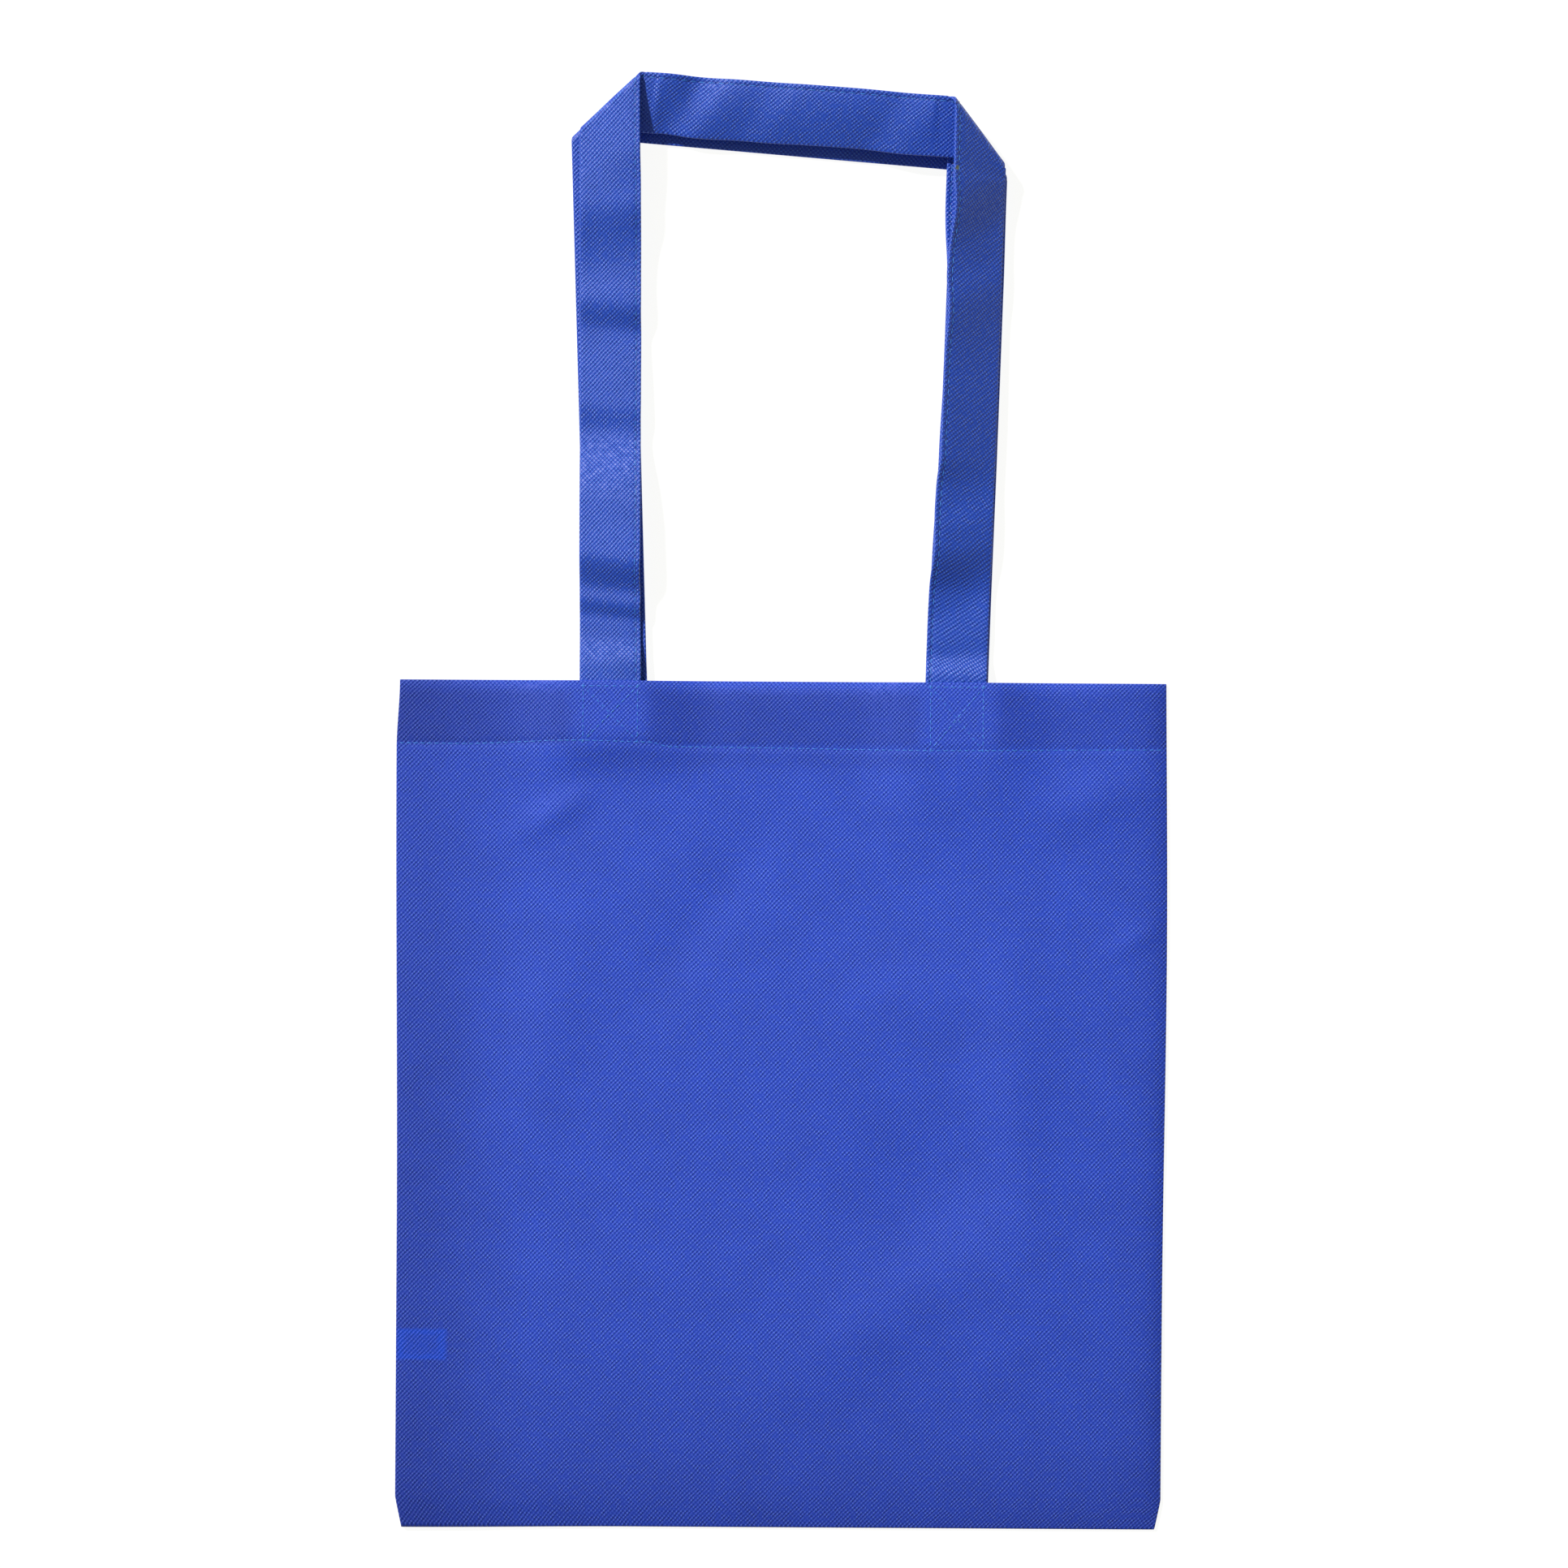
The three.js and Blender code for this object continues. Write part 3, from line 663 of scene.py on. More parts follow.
# The row of stitches along the open edge, the groove it pulls and the painted shade in that groove
STITCH_INSET = 2.3 * MM
STITCH_GROOVE = 0.18 * MM
STITCH_GROOVE_WIDTH = 0.7 * MM
SHADE_INSET = 2.1 * MM
SHADE_WIDTH = 0.5 * MM
GROOVE_PAINTED_SHADE = 0.4

# Stations along the handle, and the air inside the slanting creases
FOLD_AIR = 0.6 * MM
RUN_STEP = 2 * MM
FAN_STEPS = 12
CREASE_STEPS = 12
SETBACK = 6 * MM
CROSS_MIDDLE = 75 * MM

# How each handle lies, in millimetres and degrees. An edge is where a strap's folded edge leaves the
# mouth, and lean is how far the strap leans outwards from there. Reach is how far the cross run's upper
# edge lies beyond the mouth, slope is its fall to the right, and corner is its height at the folded end
# of each crease. The lists hold values along a run, as (distance, value). Heights are those of the
# folded edge, and tilts say how far the open edge stands above it. Slants say how much further along
# the dents lie at the open edge, and bows how far the middle bulges. At the open end of a slanting
# crease, corner_lift and cross_lift say how far the strap and the cross run under it stand above the
# folded end.
LEVEL = [(0, 0), (100, 0)]
FRONT_LIE = {
    "left": {"edge": 100.6, "lean": 0.3, "corner_lift": 4.2, "cross_lift": 4.2,
             "slants": [(0, 0), (40, -4)], "bows": LEVEL,
             "heights": [(0, 5.4), (7, 5.3), (23, 2), (33, 2.1), (42, 5), (46, 4.8), (64, 11.4), (88, 10.8),
                         (124, 2.6), (139, 5), (175, 3.8), (190, 7.4), (202, 6.4), (238, 12), (264, 10.6)],
             "tilts": [(0, 1), (20, 2.4), (60, 3), (90, 2.5), (108, 4.5), (130, 2), (150, 1.5),
                       (176, 0.5), (196, 1.5), (222, -1), (240, 1), (264, 4.2)]},
    "right": {"edge": 101, "lean": 1.64, "corner_lift": 15, "cross_lift": 7.6,
              "slants": [(0, 0), (40, -15)], "bows": LEVEL,
              "heights": [(0, 5.4), (2, 5.4), (15, 2.5), (26, 2.9), (42, 2.7), (74, 6.2), (82, 6.2),
                          (100, 5.2), (132, 5.6), (178, 5), (202, 6.6), (216, 5.8), (226, 5.8),
                          (260, 10.4)],
              "tilts": [(0, 0), (14, 0), (44, 1), (68, 9), (80, 9.6), (96, 9.6), (112, 12.5),
                        (150, 13.5), (176, 14), (206, 14), (236, 14.5), (262, 15)]},
    "cross": {"slants": [(0, 18), (150, 18)], "bows": [(0, 0), (20, 1.4), (124, 1.4), (144, 0)],
              "heights": [(-14, 14.2), (12, 7.4), (27, 9), (48, 7.9), (62, 8.5), (108, 8.8), (134, 11.8),
                          (160, 11.4)],
              "tilts": [(0, 0), (20, 3.4), (104, 8.8), (150, 6.1)]},
    "corner": 10, "reach": 296, "slope": 4.35,
}
BACK_LIE = {
    "left": {"edge": 97.5, "lean": 1.9, "corner_lift": 0, "cross_lift": 0, "slants": LEVEL, "bows": LEVEL,
             "heights": [(0, 1.2), (16, 0.1), (160, 0.1), (250, 2.6)],
             "tilts": [(0, 2), (12, 2.6), (50, 2.6), (160, 2), (260, 0)]},
    "right": {"edge": 101.8, "lean": 1.8, "corner_lift": 3, "cross_lift": 1, "slants": LEVEL, "bows": LEVEL,
              "heights": [(0, 1.2), (16, 0.3), (160, 0.3), (245, 2.6)],
              "tilts": [(0, 0), (40, 1), (112, 9), (150, 11), (200, 11), (240, 3)]},
    "cross": {"slants": LEVEL, "bows": LEVEL, "heights": [(0, 2), (150, 2)], "tilts": [(90, 0), (150, 1)]},
    "corner": 2, "reach": 292, "slope": 4.65,
}
print("handles reach beyond the mouth by", FRONT_LIE["reach"], "and", BACK_LIE["reach"], "mm")


def strap_height(run, distance, share):
    """Height of a run at a share of its width, counted from the open edge."""
    slanted = distance - along_keys(distance, run["slants"]) * (1 - share)
    tilted = along_keys(distance, run["tilts"]) * (1 - share)
    bulged = along_keys(distance, run["bows"]) * 4 * share * (1 - share)
    return along_keys(slanted, run["heights"]) + tilted + bulged


def flat(point, z):
    return np.array([point[0], point[1], z])


def turned(a, b):
    """How far b is turned from a, as the cross product of two flat directions."""
    return a[0] * b[1] - a[1] * b[0]


def meeting(point_a, along_a, point_b, along_b):
    """Where two flat lines meet, each given by a point and a direction."""
    return point_a + along_a * turned(point_b - point_a, along_b) / turned(along_a, along_b)


def seen_width(rise):
    """How wide a strap looks from above when one edge stands higher than the other."""
    return math.sqrt(STRAP_WIDTH**2 - rise**2)


def cross_lines(lie):
    """The cross run's two directions, and a point on its open edge and on its folded edge."""
    slope = math.radians(lie["slope"])
    tilt = along_keys(CROSS_MIDDLE, lie["cross"]["tilts"])
    along = np.array([math.cos(slope), -math.sin(slope)])
    up = np.array([math.sin(slope), math.cos(slope)])
    open_point = np.array([0, MOUTH + lie["reach"] * MM])
    return along, up, open_point, open_point - up * seen_width(tilt)


# %% Stations of a handle


def side_stations(lie, side):
    """One side of a handle: its tail in the bag, its run, and its half turn over the slanting crease."""
    run = lie["left"] if side < 0 else lie["right"]
    cross_along, _, open_line, fold_line = cross_lines(lie)
    lean = math.radians(run["lean"])
    upward = np.array([side * math.sin(lean), math.cos(lean)])
    inward = np.array([-side * math.cos(lean), math.sin(lean)])
    along_cross = -side * cross_along
    leaves_at = np.array([side * run["edge"] * MM, MOUTH])
    cross_z = lie["corner"] * MM
    corner_tilt = run["tilts"][-1][1] * MM

    fold_corner = meeting(leaves_at, upward, fold_line, cross_along)
    inner_edge = leaves_at + inward * seen_width(corner_tilt)
    open_corner = meeting(inner_edge, upward, open_line, cross_along)
    crease = (open_corner - fold_corner) / np.linalg.norm(open_corner - fold_corner)
    outward = np.array([side * crease[1], -side * crease[0], 0])
    turn_reach = FOLD_AIR / 2 + STRAP_STACK
    run_back = -turn_reach / abs(turned(upward, crease))
    cross_back = turn_reach / abs(turned(along_cross, crease))
    run_length = np.linalg.norm(fold_corner - leaves_at) + run_back - SETBACK

    stations = []
    for distance in np.linspace(-STRAP_TAIL, run_length, int((run_length + STRAP_TAIL) / RUN_STEP)):
        open_z, fold_z = (strap_height(run, distance, share) for share in (0.0, 1.0))
        fold = leaves_at + upward * distance
        open_place = fold + inward * seen_width(open_z - fold_z)
        stations.append((flat(open_place, open_z), flat(fold, fold_z), None, (run, distance)))

    # Each end of the crease: its place, its height on the cross run and its height on the strap
    strap_z = cross_z + FOLD_AIR
    crease_ends = ((open_corner, cross_z + run["cross_lift"] * MM, strap_z + run["corner_lift"] * MM),
                   (fold_corner, cross_z, strap_z))

    def on_crease(end, share):
        corner, low, high = end
        angle = share * math.pi
        facing = np.array([0, 0, math.cos(angle)]) + outward * math.sin(angle)
        place = corner + upward * run_back * (1 - share) + along_cross * cross_back * share
        z = (low + high) / 2 + (high - low) / 2 * math.cos(angle)
        return flat(place, z) + outward * math.sin(angle) * FOLD_AIR / 2, facing

    run_open, run_fold = stations[-1][:2]
    crease_open, crease_fold = (on_crease(end, 0)[0] for end in crease_ends)
    for share in np.linspace(0, 1, FAN_STEPS + 1)[1:-1]:
        open_place = run_open + (crease_open - run_open) * share
        fold_place = run_fold + (crease_fold - run_fold) * share
        open_place[2] = run_open[2] + (crease_open[2] - run_open[2]) * fade(share, 0, 1)
        fold_place[2] = run_fold[2] + (crease_fold[2] - run_fold[2]) * fade(share, 0, 1)
        stations.append((open_place, fold_place, None, None))
    for share in np.linspace(0, 1, CREASE_STEPS + 1):
        (open_place, facing), (fold_place, _) = (on_crease(end, share) for end in crease_ends)
        stations.append((open_place, fold_place, facing, None))
    return stations


def cross_stations(lie, left_end, right_end):
    """The run across the far end, with a fan of stations out of each slanting crease."""
    along, up, open_line, _ = cross_lines(lie)
    run = lie["cross"]
    first, last = (np.dot(end[0][:2] - open_line, along) for end in (left_end, right_end))
    square = []
    for place in np.linspace(first + SETBACK, last - SETBACK, int((last - first) / RUN_STEP)):
        open_z, fold_z = (strap_height(run, place - first, share) for share in (0.0, 1.0))
        open_place = open_line + along * place
        fold_place = open_place - up * seen_width(open_z - fold_z)
        square.append((flat(open_place, open_z), flat(fold_place, fold_z), None, (run, place - first)))

    def fan(start, end):
        shares = np.linspace(0, 1, FAN_STEPS + 1)[1:-1]
        return [(start[0] + (end[0] - start[0]) * s, start[1] + (end[1] - start[1]) * s, None, None)
                for s in shares]

    return fan(left_end, square[0]) + square + fan(square[-1], right_end)


def handle_stations(lie):
    """All stations of a handle. Each faces along its own normal, unless a crease has set it."""
    left = side_stations(lie, -1)
    right = side_stations(lie, 1)[::-1]
    stations = left + cross_stations(lie, left[-1], right[0]) + right
    open_edge = np.array([station[0] for station in stations])
    fold_edge = np.array([station[1] for station in stations])
    between = np.gradient((open_edge + fold_edge) / 2, axis=0)
    facing = np.cross(between, fold_edge - open_edge)
    facing /= np.linalg.norm(facing, axis=1, keepdims=True)
    for index, station in enumerate(stations):
        if station[2] is not None:
            facing[index] = station[2]
    return {"open": open_edge, "fold": fold_edge, "facing": facing, "runs": [s[3] for s in stations]}


def ribbon_points(ribbon, share, height):
    """Points of a ribbon at shares of its width from the open edge and heights above its underside."""
    across = share[None, :, None]
    line = ribbon["open"][:, None] * (1 - across) + ribbon["fold"][:, None] * across
    for index, place in enumerate(ribbon["runs"]):
        if place:
            line[index, :, 2] = strap_height(*place, share)
    return line + ribbon["facing"][:, None] * height[None, :, None]


# %% Section of the strip
LIP_COLUMNS = 6
FACE_COLUMNS = 10
# Columns of a face lie closer around the groove of the stitches
GROOVE_COLUMNS = np.array([0.8, 1.3, 1.8, 2.3, 2.9, 3.6, 5, 7.5]) * MM


def strap_section():
    """The folded strip's middle line: distance from the open edge, height through the four layers."""
    fold_start = STRAP_WIDTH - FOLD_TURN
    fold_middle = STRAP_STACK / 2
    lip = np.linspace(STRAP_LIP, TURN, LIP_COLUMNS)
    face = np.concatenate([[TURN], GROOVE_COLUMNS, np.linspace(STRAP_LIP, fold_start, FACE_COLUMNS)])
    thinner = fade(face, STRAP_LIP, fold_start)
    pinched = STITCH_GROOVE * np.exp(-(((face - STITCH_INSET) / STITCH_GROOVE_WIDTH) ** 2))
    low = LOWER_FACE + thinner * (fold_middle - FOLD_TURN - LOWER_FACE) + pinched
    high = UPPER_FACE + thinner * (fold_middle + FOLD_TURN - UPPER_FACE) - pinched
    low_lip, high_lip = ((lip, np.full_like(lip, height)) for height in LIP_HEIGHTS)
    low_turn, high_turn = ((TURN - TURN * np.sin(inner_angles), height + TURN * np.cos(inner_angles))
                           for height in LIP_TURN_HEIGHTS)
    fold = (fold_start + FOLD_TURN * np.sin(inner_angles), fold_middle - FOLD_TURN * np.cos(inner_angles))
    parts = [low_lip, low_turn, (face, low), fold, (face[::-1], high[::-1]), high_turn,
             (high_lip[0][::-1], high_lip[1])]
    return np.concatenate([np.stack(part, axis=1) for part in parts])


section = strap_section()
section_length = length_along(section)
# Painted shade: a dark line along the stitch groove
section_groove_shade = 1 - GROOVE_PAINTED_SHADE * np.exp(-(((section[:, 0] - SHADE_INSET) / SHADE_WIDTH) ** 2))
print("strip width laid flat:", round(section_length[-1] / MM, 1), "mm")


def handle(name, lie, material):
    """One handle as a sheet of cloth, with its ribbon of stations and its length laid flat."""
    ribbon = handle_stations(lie)
    share = section[:, 0] / STRAP_WIDTH
    points = ribbon_points(ribbon, share, section[:, 1])
    open_length, fold_length = (length_along(ribbon[edge]) for edge in ("open", "fold"))
    along = open_length[:, None] * (1 - share) + fold_length[:, None] * share
    sheet_uv = np.dstack(np.broadcast_arrays(section_length[None, :], along))
    tone = np.broadcast_to(section_groove_shade, points.shape[:2])
    piece = cloth_from_grid(name, points, sheet_uv, tone, np.ones(points.shape[:2], bool))
    give_thickness(piece, CLOTH)
    piece.data.materials.append(material)
    length = (open_length[-1] + fold_length[-1]) / 2
    print(name, "length:", round(length / MM), "mm")
    return piece, ribbon, length


strap_cloth = spunbond("spunbond_polypropylene_straps", STRAP_BLUES, STRAP_ROUGHNESS, STRAP_GLOSS,
                       dried_spot)
front_handle, front_ribbon, front_length = handle("front_handle_cloth", FRONT_LIE, strap_cloth)
back_handle, back_ribbon, back_length = handle("back_handle_cloth", BACK_LIE, strap_cloth)

# %% [markdown]
# ## The care label
#
# A short piece of white woven tape is folded in half and caught in the left side seam, inside the
# bag. It is hidden, but it shows through the thin cloth as a pale patch. The tape is one more small
# grid, folded over at its inner end.

# %% Care label
TAPE = 0.15 * MM
LABEL_COLUMNS = 9
LABEL_ROWS = 5
LABEL_GAP = 0.2 * MM
TAPE_WHITE = "#F1F1EC"
TAPE_ROUGHNESS = 0.5
RIB_PITCH = 0.5 * MM
RIB_DEPTH = 0.03 * MM
RIB_WAVER = 0.4
# A wave texture of scale 1 repeats after this distance, in metres.
WAVE_REPEAT = 2 * math.pi / 20


def tape_material():
    """Woven nylon tape: white, fine ribs across, a soft satin gleam."""
    material, tree = new_material("woven_nylon_tape")
    sheet = add(tree, "ShaderNodeUVMap", uv_map="cloth").outputs["UV"]
    ribs = add(tree, "ShaderNodeTexWave",
               {"Vector": sheet, "Scale": WAVE_REPEAT / RIB_PITCH, "Distortion": RIB_WAVER},
               bands_direction="X")
    bump = add(tree, "ShaderNodeBump", {"Height": ribs, "Distance": RIB_DEPTH})
    surface = add(tree, "ShaderNodeBsdfPrincipled",
                  {"Base Color": linear(TAPE_WHITE), "Normal": bump, "Roughness": TAPE_ROUGHNESS})
    add(tree, "ShaderNodeOutputMaterial", {"Surface": surface})
    return material


def care_label():
    """The folded tape, close under the front panel, and its length laid flat."""
    fold_x = LABEL_HIGH.x - TAPE
    out = np.linspace(LABEL_LOW.x, fold_x, LABEL_COLUMNS)
    heights = np.linspace(LABEL_LOW.y, LABEL_HIGH.y, LABEL_ROWS)[:, None]
    x = np.concatenate([out, fold_x + TAPE * np.sin(inner_angles), out[::-1]])
    depth = np.concatenate([np.zeros(LABEL_COLUMNS), TAPE - TAPE * np.cos(inner_angles),
                            np.full(LABEL_COLUMNS, 2 * TAPE)])
    y = np.broadcast_to(heights, (LABEL_ROWS, len(x)))
    top = front_height(x[None, :], heights) - CLOTH / 2 - LABEL_GAP
    points = np.dstack([np.broadcast_to(x, y.shape), y, top - depth])
    along = length_along(np.stack([x, depth], axis=1))
    sheet_uv = np.dstack(np.broadcast_arrays(along[None, :], heights))
    whole = np.ones(y.shape, bool)
    piece = cloth_from_grid("care_label_tape", points, sheet_uv, whole.astype(float), whole)
    give_thickness(piece, TAPE)
    piece.data.materials.append(tape_material())
    return piece, along[-1]


label, label_length = care_label()

# %% [markdown]
# ## Stitches
#
# Every seam is a row of lockstitches in light blue thread, and those that show are made here. A stitch
# is a short arched piece of thread that dips into the cloth at both ends, and there are about a
# thousand of them, so they are made with Geometry Nodes: one tree takes rows of points that lie on the
# cloth, cuts them at the stitch pitch and sets a little arched tube on each point, turned along the row
# and standing on the cloth. The result is turned into a plain mesh, because the finished model keeps no
# instances.

# %% Thread material
# Painted shade and painted highlight on the plies: the colours of a ply's shadow and its crown, and where
# each of them starts
THREAD_COLOURS = ("#2F69C4", "#4087DC")
THREAD_STOPS = (0.35, 0.6)
THREAD_ROUGHNESS = 0.45
PLY_SIZE = 0.8 * MM
PLY_DEPTH = 0.05 * MM


def thread_material():
    """Spun polyester thread: two twisted plies, a soft sheen, slightly lighter than the cloth."""
    material, tree = new_material("spun_polyester_thread")
    place = add(tree, "ShaderNodeTexCoord").outputs["Object"]
    plies = add(tree, "ShaderNodeTexNoise", {"Vector": place, "Scale": 1 / PLY_SIZE, "Detail": 1.0})
    ramp = add(tree, "ShaderNodeValToRGB", {0: plies})
    for stop, position, colour in zip(ramp.color_ramp.elements, THREAD_STOPS, THREAD_COLOURS):
        stop.position = position
        stop.color = linear(colour)
    bump = add(tree, "ShaderNodeBump", {"Height": plies, "Distance": PLY_DEPTH})
    surface = add(tree, "ShaderNodeBsdfPrincipled",
                  {"Base Color": ramp, "Normal": bump, "Roughness": THREAD_ROUGHNESS})
    add(tree, "ShaderNodeOutputMaterial", {"Surface": surface})
    return material


thread = thread_material()
print("material:", thread.name)

# %% Geometry Nodes tree for a row of stitches
STITCH_INPUTS = {
    "Pitch": "NodeSocketFloat", "Stitch length": "NodeSocketFloat", "Thread": "NodeSocketFloat",
    "Arch": "NodeSocketFloat", "Seed": "NodeSocketInt", "Thread material": "NodeSocketMaterial",
}
ARCH_STEPS = 4
RING_STEPS = 6
# No two stitches are equal: the least and the most of their length, width and height
STITCH_SIZES = ((0.85, 0.9, 0.9), (1.08, 1.1, 1.1))


def stitch_tree():
    tree = bpy.data.node_groups.new("lockstitch_rows", "GeometryNodeTree")
    tree.interface.new_socket("Rows", in_out="INPUT", socket_type="NodeSocketGeometry")
    for name, kind in STITCH_INPUTS.items():
        tree.interface.new_socket(name, in_out="INPUT", socket_type=kind)
    tree.interface.new_socket("Stitches", in_out="OUTPUT", socket_type="NodeSocketGeometry")
    given = add(tree, "NodeGroupInput").outputs
    rows = add(tree, "GeometryNodeMeshToCurve", {"Mesh": given["Rows"]})
    spots = add(tree, "GeometryNodeResampleCurve", {"Curve": rows, "Length": given["Pitch"]}, mode="LENGTH")
    half = add(tree, "ShaderNodeMath", {0: given["Stitch length"], 1: 0.5}, operation="MULTIPLY")
    back = add(tree, "ShaderNodeMath", {0: half, 1: -1.0}, operation="MULTIPLY")
    sunk = add(tree, "ShaderNodeMath", {0: given["Arch"], 1: -1.0}, operation="MULTIPLY")
    start, crown, end = (
        add(tree, "ShaderNodeCombineXYZ", inputs)
        for inputs in ({"X": back, "Z": sunk}, {"Z": given["Arch"]}, {"X": half, "Z": sunk}))
    arch = add(tree, "GeometryNodeCurveQuadraticBezier",
               {"Resolution": ARCH_STEPS, "Start": start, "Middle": crown, "End": end})
    radius = add(tree, "ShaderNodeMath", {0: given["Thread"], 1: 0.5}, operation="MULTIPLY")
    ring = add(tree, "GeometryNodeCurvePrimitiveCircle", {"Resolution": RING_STEPS, "Radius": radius})
    stitch = add(tree, "GeometryNodeCurveToMesh", {"Curve": arch, "Profile Curve": ring, "Fill Caps": True})
    along = add(tree, "GeometryNodeInputTangent")
    standing = add(tree, "GeometryNodeInputNamedAttribute", {"Name": "cloth_facing"},
                   data_type="FLOAT_VECTOR")
    turn = add(tree, "FunctionNodeAxesToRotation", {"Primary Axis": standing, "Secondary Axis": along},
               primary_axis="Z", secondary_axis="X")
    size = add(tree, "FunctionNodeRandomValue",
               {0: STITCH_SIZES[0], 1: STITCH_SIZES[1], "Seed": given["Seed"]}, data_type="FLOAT_VECTOR")
    placed = add(tree, "GeometryNodeInstanceOnPoints",
                 {"Points": spots, "Instance": stitch, "Rotation": turn, "Scale": size})
    real = add(tree, "GeometryNodeRealizeInstances", {0: placed})
    dyed = add(tree, "GeometryNodeSetMaterial", {"Geometry": real, "Material": given["Thread material"]})
    add(tree, "NodeGroupOutput", {"Stitches": dyed})
    return tree


stitching = stitch_tree()
print("stitch tree inputs:", list(STITCH_INPUTS))

# %% Rows of stitches on the cloth
THREAD = 0.5 * MM
BODY_PITCH = 3.4 * MM
BODY_STITCH = 2.7 * MM
STRAP_PITCH = 5.0 * MM
STRAP_STITCH = 3.6 * MM
STITCH_ARCH = 0.28 * MM
STITCH_SEED = 7
ROW_POINT_STEP = 2 * MM
ROW_END_GAP = 1 * MM
SLOPE_STEP = 0.2 * MM


def stitches(name, rows, pitch, length):
    """Stitches along rows of (points, facings), as one plain mesh."""
    points = np.concatenate([row for row, _ in rows])
    facings = np.concatenate([facing for _, facing in rows])
    starts = np.cumsum([0] + [len(row) for row, _ in rows])
    edges = [(i, i + 1) for first, last in zip(starts[:-1], starts[1:]) for i in range(first, last - 1)]
    mesh = bpy.data.meshes.new(name)
    mesh.from_pydata(points.tolist(), edges, [])
    standing = mesh.attributes.new("cloth_facing", "FLOAT_VECTOR", "POINT")
    standing.data.foreach_set("vector", facings.ravel())
    piece = into_scene(name, mesh)
    sewing = piece.modifiers.new("sewing", "NODES")
    sewing.node_group = stitching
    values = {"Pitch": pitch, "Stitch length": length, "Thread": THREAD, "Arch": STITCH_ARCH,
              "Seed": STITCH_SEED, "Thread material": thread}
    for item in stitching.interface.items_tree:
        if item.name in values:
            sewing[item.identifier] = values[item.name]
    made = piece.evaluated_get(bpy.context.evaluated_depsgraph_get())
    plain = bpy.data.meshes.new_from_object(made)
    piece.modifiers.clear()
    piece.data = plain
    print(name, "faces:", len(plain.polygons))
    return piece


def panel_row(surface, x, y, side):
    """Points on a panel's outside and how it faces there. Side is 1 on the front and -1 on the back."""
    z = surface(x, y)
    step = SLOPE_STEP
    slope_x = (surface(x + step, y) - surface(x - step, y)) / (2 * step)
    slope_y = (surface(x, y + step) - surface(x, y - step)) / (2 * step)
    facing = side * np.stack([-slope_x, -slope_y, np.ones_like(x)], axis=1)
    facing /= np.linalg.norm(facing, axis=1, keepdims=True)
    points = np.stack([x, y, z], axis=1) + facing * CLOTH / 2
    return points, facing


def straight_row(surface, start, end, side):
    count = max(int(math.dist(start, end) / ROW_POINT_STEP), 2)
    x, y = (np.linspace(start[axis], end[axis], count) for axis in (0, 1))
    return panel_row(surface, x, y, side)


hem_x = np.arange(-HALF_WIDTH + ROW_END_GAP, HALF_WIDTH - ROW_END_GAP, ROW_POINT_STEP)
body_rows = [panel_row(front_height, hem_x, hem_line(hem_x), 1),
             panel_row(back_height, hem_x, hem_line(hem_x), -1)]
print("points along each hem row:", len(hem_x))

# %% Boxes and crosses over the strap ends
# Each box is given by its left, right, lower and upper sides, in millimetres. The hem's row closes it
# below, and the diagonal that was sewn first is pulled deeper into the cloth.
FRONT_BOXES = [(-99, -72, 28.6, 55.8), (73.5, 99.5, 24.9, 56.2)]
BACK_BOXES = [(-97, -69, 28, 56), (72, 99, 25, 56)]
PULLED_IN = 0.12 * MM


def box_and_cross(surface, box, side):
    """Three sides of a box and its two diagonals."""
    left, right, low, high = (value * MM for value in box)
    corners = [(left, low), (left, high), (right, high), (right, low)]
    sides = list(zip(corners[:-1], corners[1:]))
    rows = [straight_row(surface, start, end, side) for start, end in sides + [(corners[0], corners[2])]]
    points, facing = straight_row(surface, corners[1], corners[3], side)
    return rows + [(points - facing * PULLED_IN, facing)]


for box in FRONT_BOXES:
    body_rows += box_and_cross(front_height, box, 1)
for box in BACK_BOXES:
    body_rows += box_and_cross(back_height, box, -1)
body_stitches = stitches("bag_body_stitches", body_rows, BODY_PITCH, BODY_STITCH)

# %% Stitch rows along the straps


def strap_rows(ribbon):
    """Rows on the upper and lower face of a handle, from where it leaves the mouth to where it enters."""
    outside = np.minimum(ribbon["open"][:, 1], ribbon["fold"][:, 1]) > MOUTH
    share = np.array([STITCH_INSET / STRAP_WIDTH])
    depth = CLOTH / 2 - STITCH_GROOVE
    rows = []
    for height, side in ((UPPER_FACE + depth, 1), (LOWER_FACE - depth, -1)):
        points = ribbon_points(ribbon, share, np.array([height]))[:, 0]
        rows.append((points[outside], side * ribbon["facing"][outside]))
    return rows


front_stitches = stitches("front_handle_stitches", strap_rows(front_ribbon), STRAP_PITCH, STRAP_STITCH)
back_stitches = stitches("back_handle_stitches", strap_rows(back_ribbon), STRAP_PITCH, STRAP_STITCH)

# %% [markdown]
# ## Floor, light and camera
#
# The bag lies on a plain pale floor. That is a sheet of opal acrylic, lit from below like a light
# table, so that shadows hardly show on it. One strong lamp stands to the upper left, 40 degrees above
# the floor. It is small, so every hill and dent of the cloth has a bright and a dark side and the
# straps draw clear shadows on each other, while a pale room fills the dark sides a little. The camera
# looks straight down with a long lens from far away, so that the raised straps hardly shift against
# the flat panel.

# %% Floor
# Half of its width, in metres, so that it runs far past the picture
FLOOR_HALF = 12.0
FLOOR_DROP = 0.15 * MM
FLOOR_COLOUR = "#6C6C6A"
FLOOR_LIGHT = "#FAFAF8"
FLOOR_GLOW = 0.96
FLOOR_ROUGHNESS = 0.9
TOOTH_SIZE = 1.5 * MM
TOOTH_DEPTH = 0.02 * MM


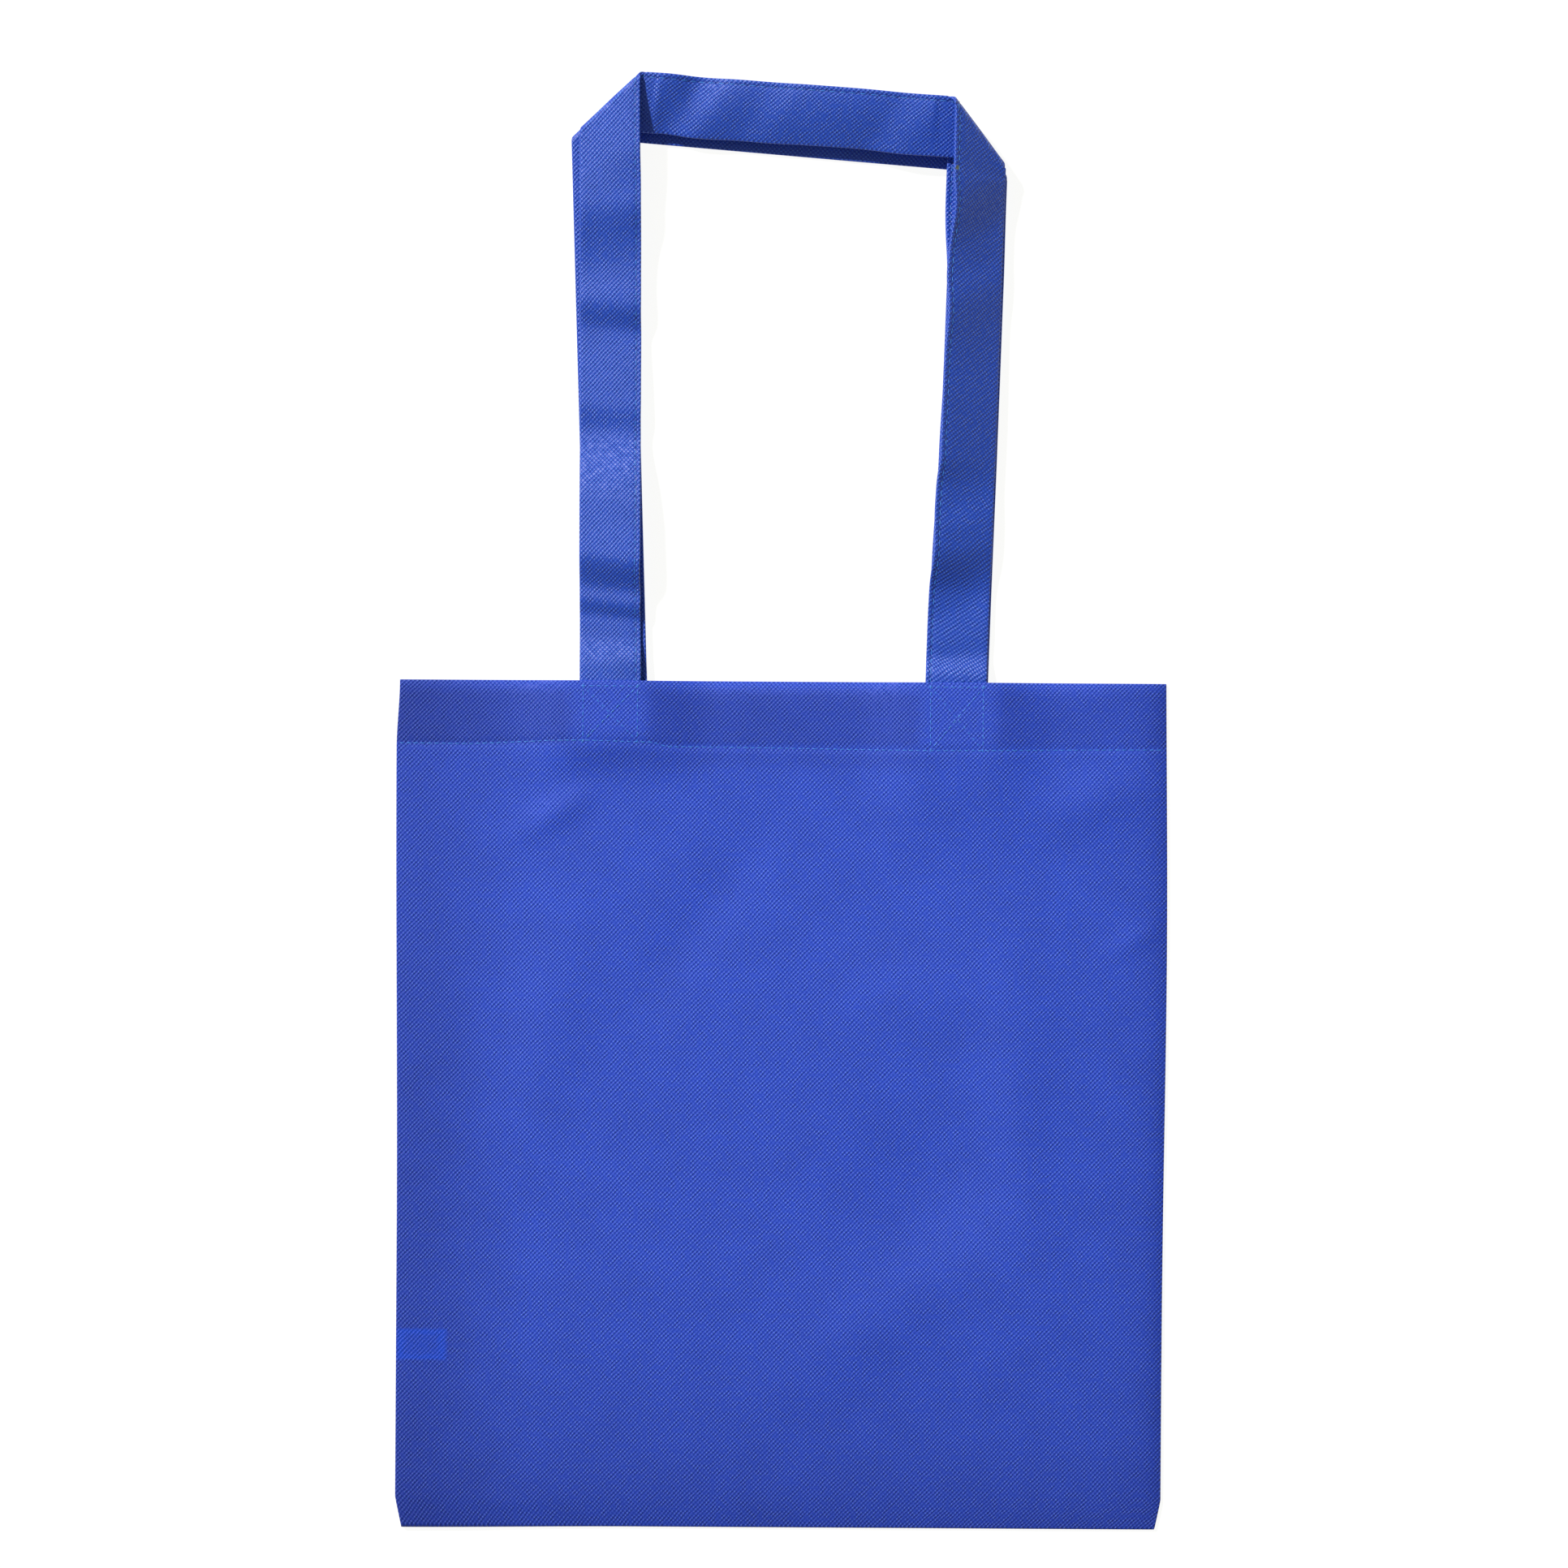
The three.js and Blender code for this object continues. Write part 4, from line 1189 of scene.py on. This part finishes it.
def floor_material():
    """Opal acrylic lit from below: its own pale light leaves only a breath of any shadow on it."""
    material, tree = new_material("lit_opal_acrylic")
    place = add(tree, "ShaderNodeTexCoord").outputs["Object"]
    tooth = add(tree, "ShaderNodeTexNoise", {"Vector": place, "Scale": 1 / TOOTH_SIZE, "Detail": 1.0})
    bump = add(tree, "ShaderNodeBump", {"Height": tooth, "Distance": TOOTH_DEPTH})
    surface = add(tree, "ShaderNodeBsdfPrincipled",
                  {"Base Color": linear(FLOOR_COLOUR), "Normal": bump, "Roughness": FLOOR_ROUGHNESS,
                   "Emission Color": linear(FLOOR_LIGHT), "Emission Strength": FLOOR_GLOW})
    add(tree, "ShaderNodeOutputMaterial", {"Surface": surface})
    return material


corners = ((-1, -1), (1, -1), (1, 1), (-1, 1))
floor_points = [(x * FLOOR_HALF, y * FLOOR_HALF, -FLOOR_DROP) for x, y in corners]
floor_mesh = bpy.data.meshes.new("pale_floor")
floor_mesh.from_pydata(floor_points, [], [(0, 1, 2, 3)])
floor_mesh.materials.append(floor_material())
floor = into_scene("pale_floor", floor_mesh)
print("floor:", 2 * FLOOR_HALF, "m wide")

# %% Light
# The lamp's width in the sky, its height above the floor and its turn to the left, in degrees
KEY_WIDTH = 4.0
KEY_ELEVATION = 40.0
KEY_TURN = 45.0
KEY_STRENGTH = 3.9
ROOM_COLOUR = "#FFFFFF"
ROOM_STRENGTH = 0.26

key_data = bpy.data.lights.new("key_lamp", "SUN")
key_data.energy = KEY_STRENGTH
key_data.angle = math.radians(KEY_WIDTH)
key = into_scene("key_lamp", key_data)
key.rotation_euler = (math.radians(90 - KEY_ELEVATION), 0, math.radians(180 + KEY_TURN))

world = bpy.data.worlds.new("pale_room")
world.use_nodes = True
room = world.node_tree.nodes["Background"].inputs
room["Color"].default_value = linear(ROOM_COLOUR)
room["Strength"].default_value = ROOM_STRENGTH
bpy.context.scene.world = world
bpy.context.scene.view_settings.view_transform = "Standard"
print("lamp:", KEY_ELEVATION, "degrees above the floor")

# %% Camera
# Lens and sensor in millimetres, as on a real camera
LENS = 150.0
SENSOR = 36.0
PICTURE_WIDTH = 778.6 * MM
PICTURE_MIDDLE = (0.9 * MM, 7.7 * MM)
PICTURE_TURN = 0.35
PANEL_HEIGHT = 5 * MM

camera_data = bpy.data.cameras.new("overhead_camera")
camera_data.lens = LENS
camera_data.sensor_width = SENSOR
camera = into_scene("overhead_camera", camera_data)
camera.location = (*PICTURE_MIDDLE, PANEL_HEIGHT + PICTURE_WIDTH * LENS / SENSOR)
camera.rotation_euler = (0, 0, math.radians(PICTURE_TURN))
bpy.context.scene.camera = camera
print("camera height:", round(camera.location.z, 3), "m")

# %% [markdown]
# ## Attach the pieces
#
# Each piece is attached to the body it rides on, and the solid of the imported model that it stands
# for is hidden.

stands_for = {
    body: "bag_body", front_handle: "front_handle", back_handle: "back_handle", label: "care_label",
}
for piece, node in stands_for.items():
    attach(piece, "root")
    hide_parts(node)
for piece in (body_stitches, front_stitches, back_stitches):
    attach(piece, "root")
print("pieces of cloth and tape:", [piece.name for piece in stands_for])
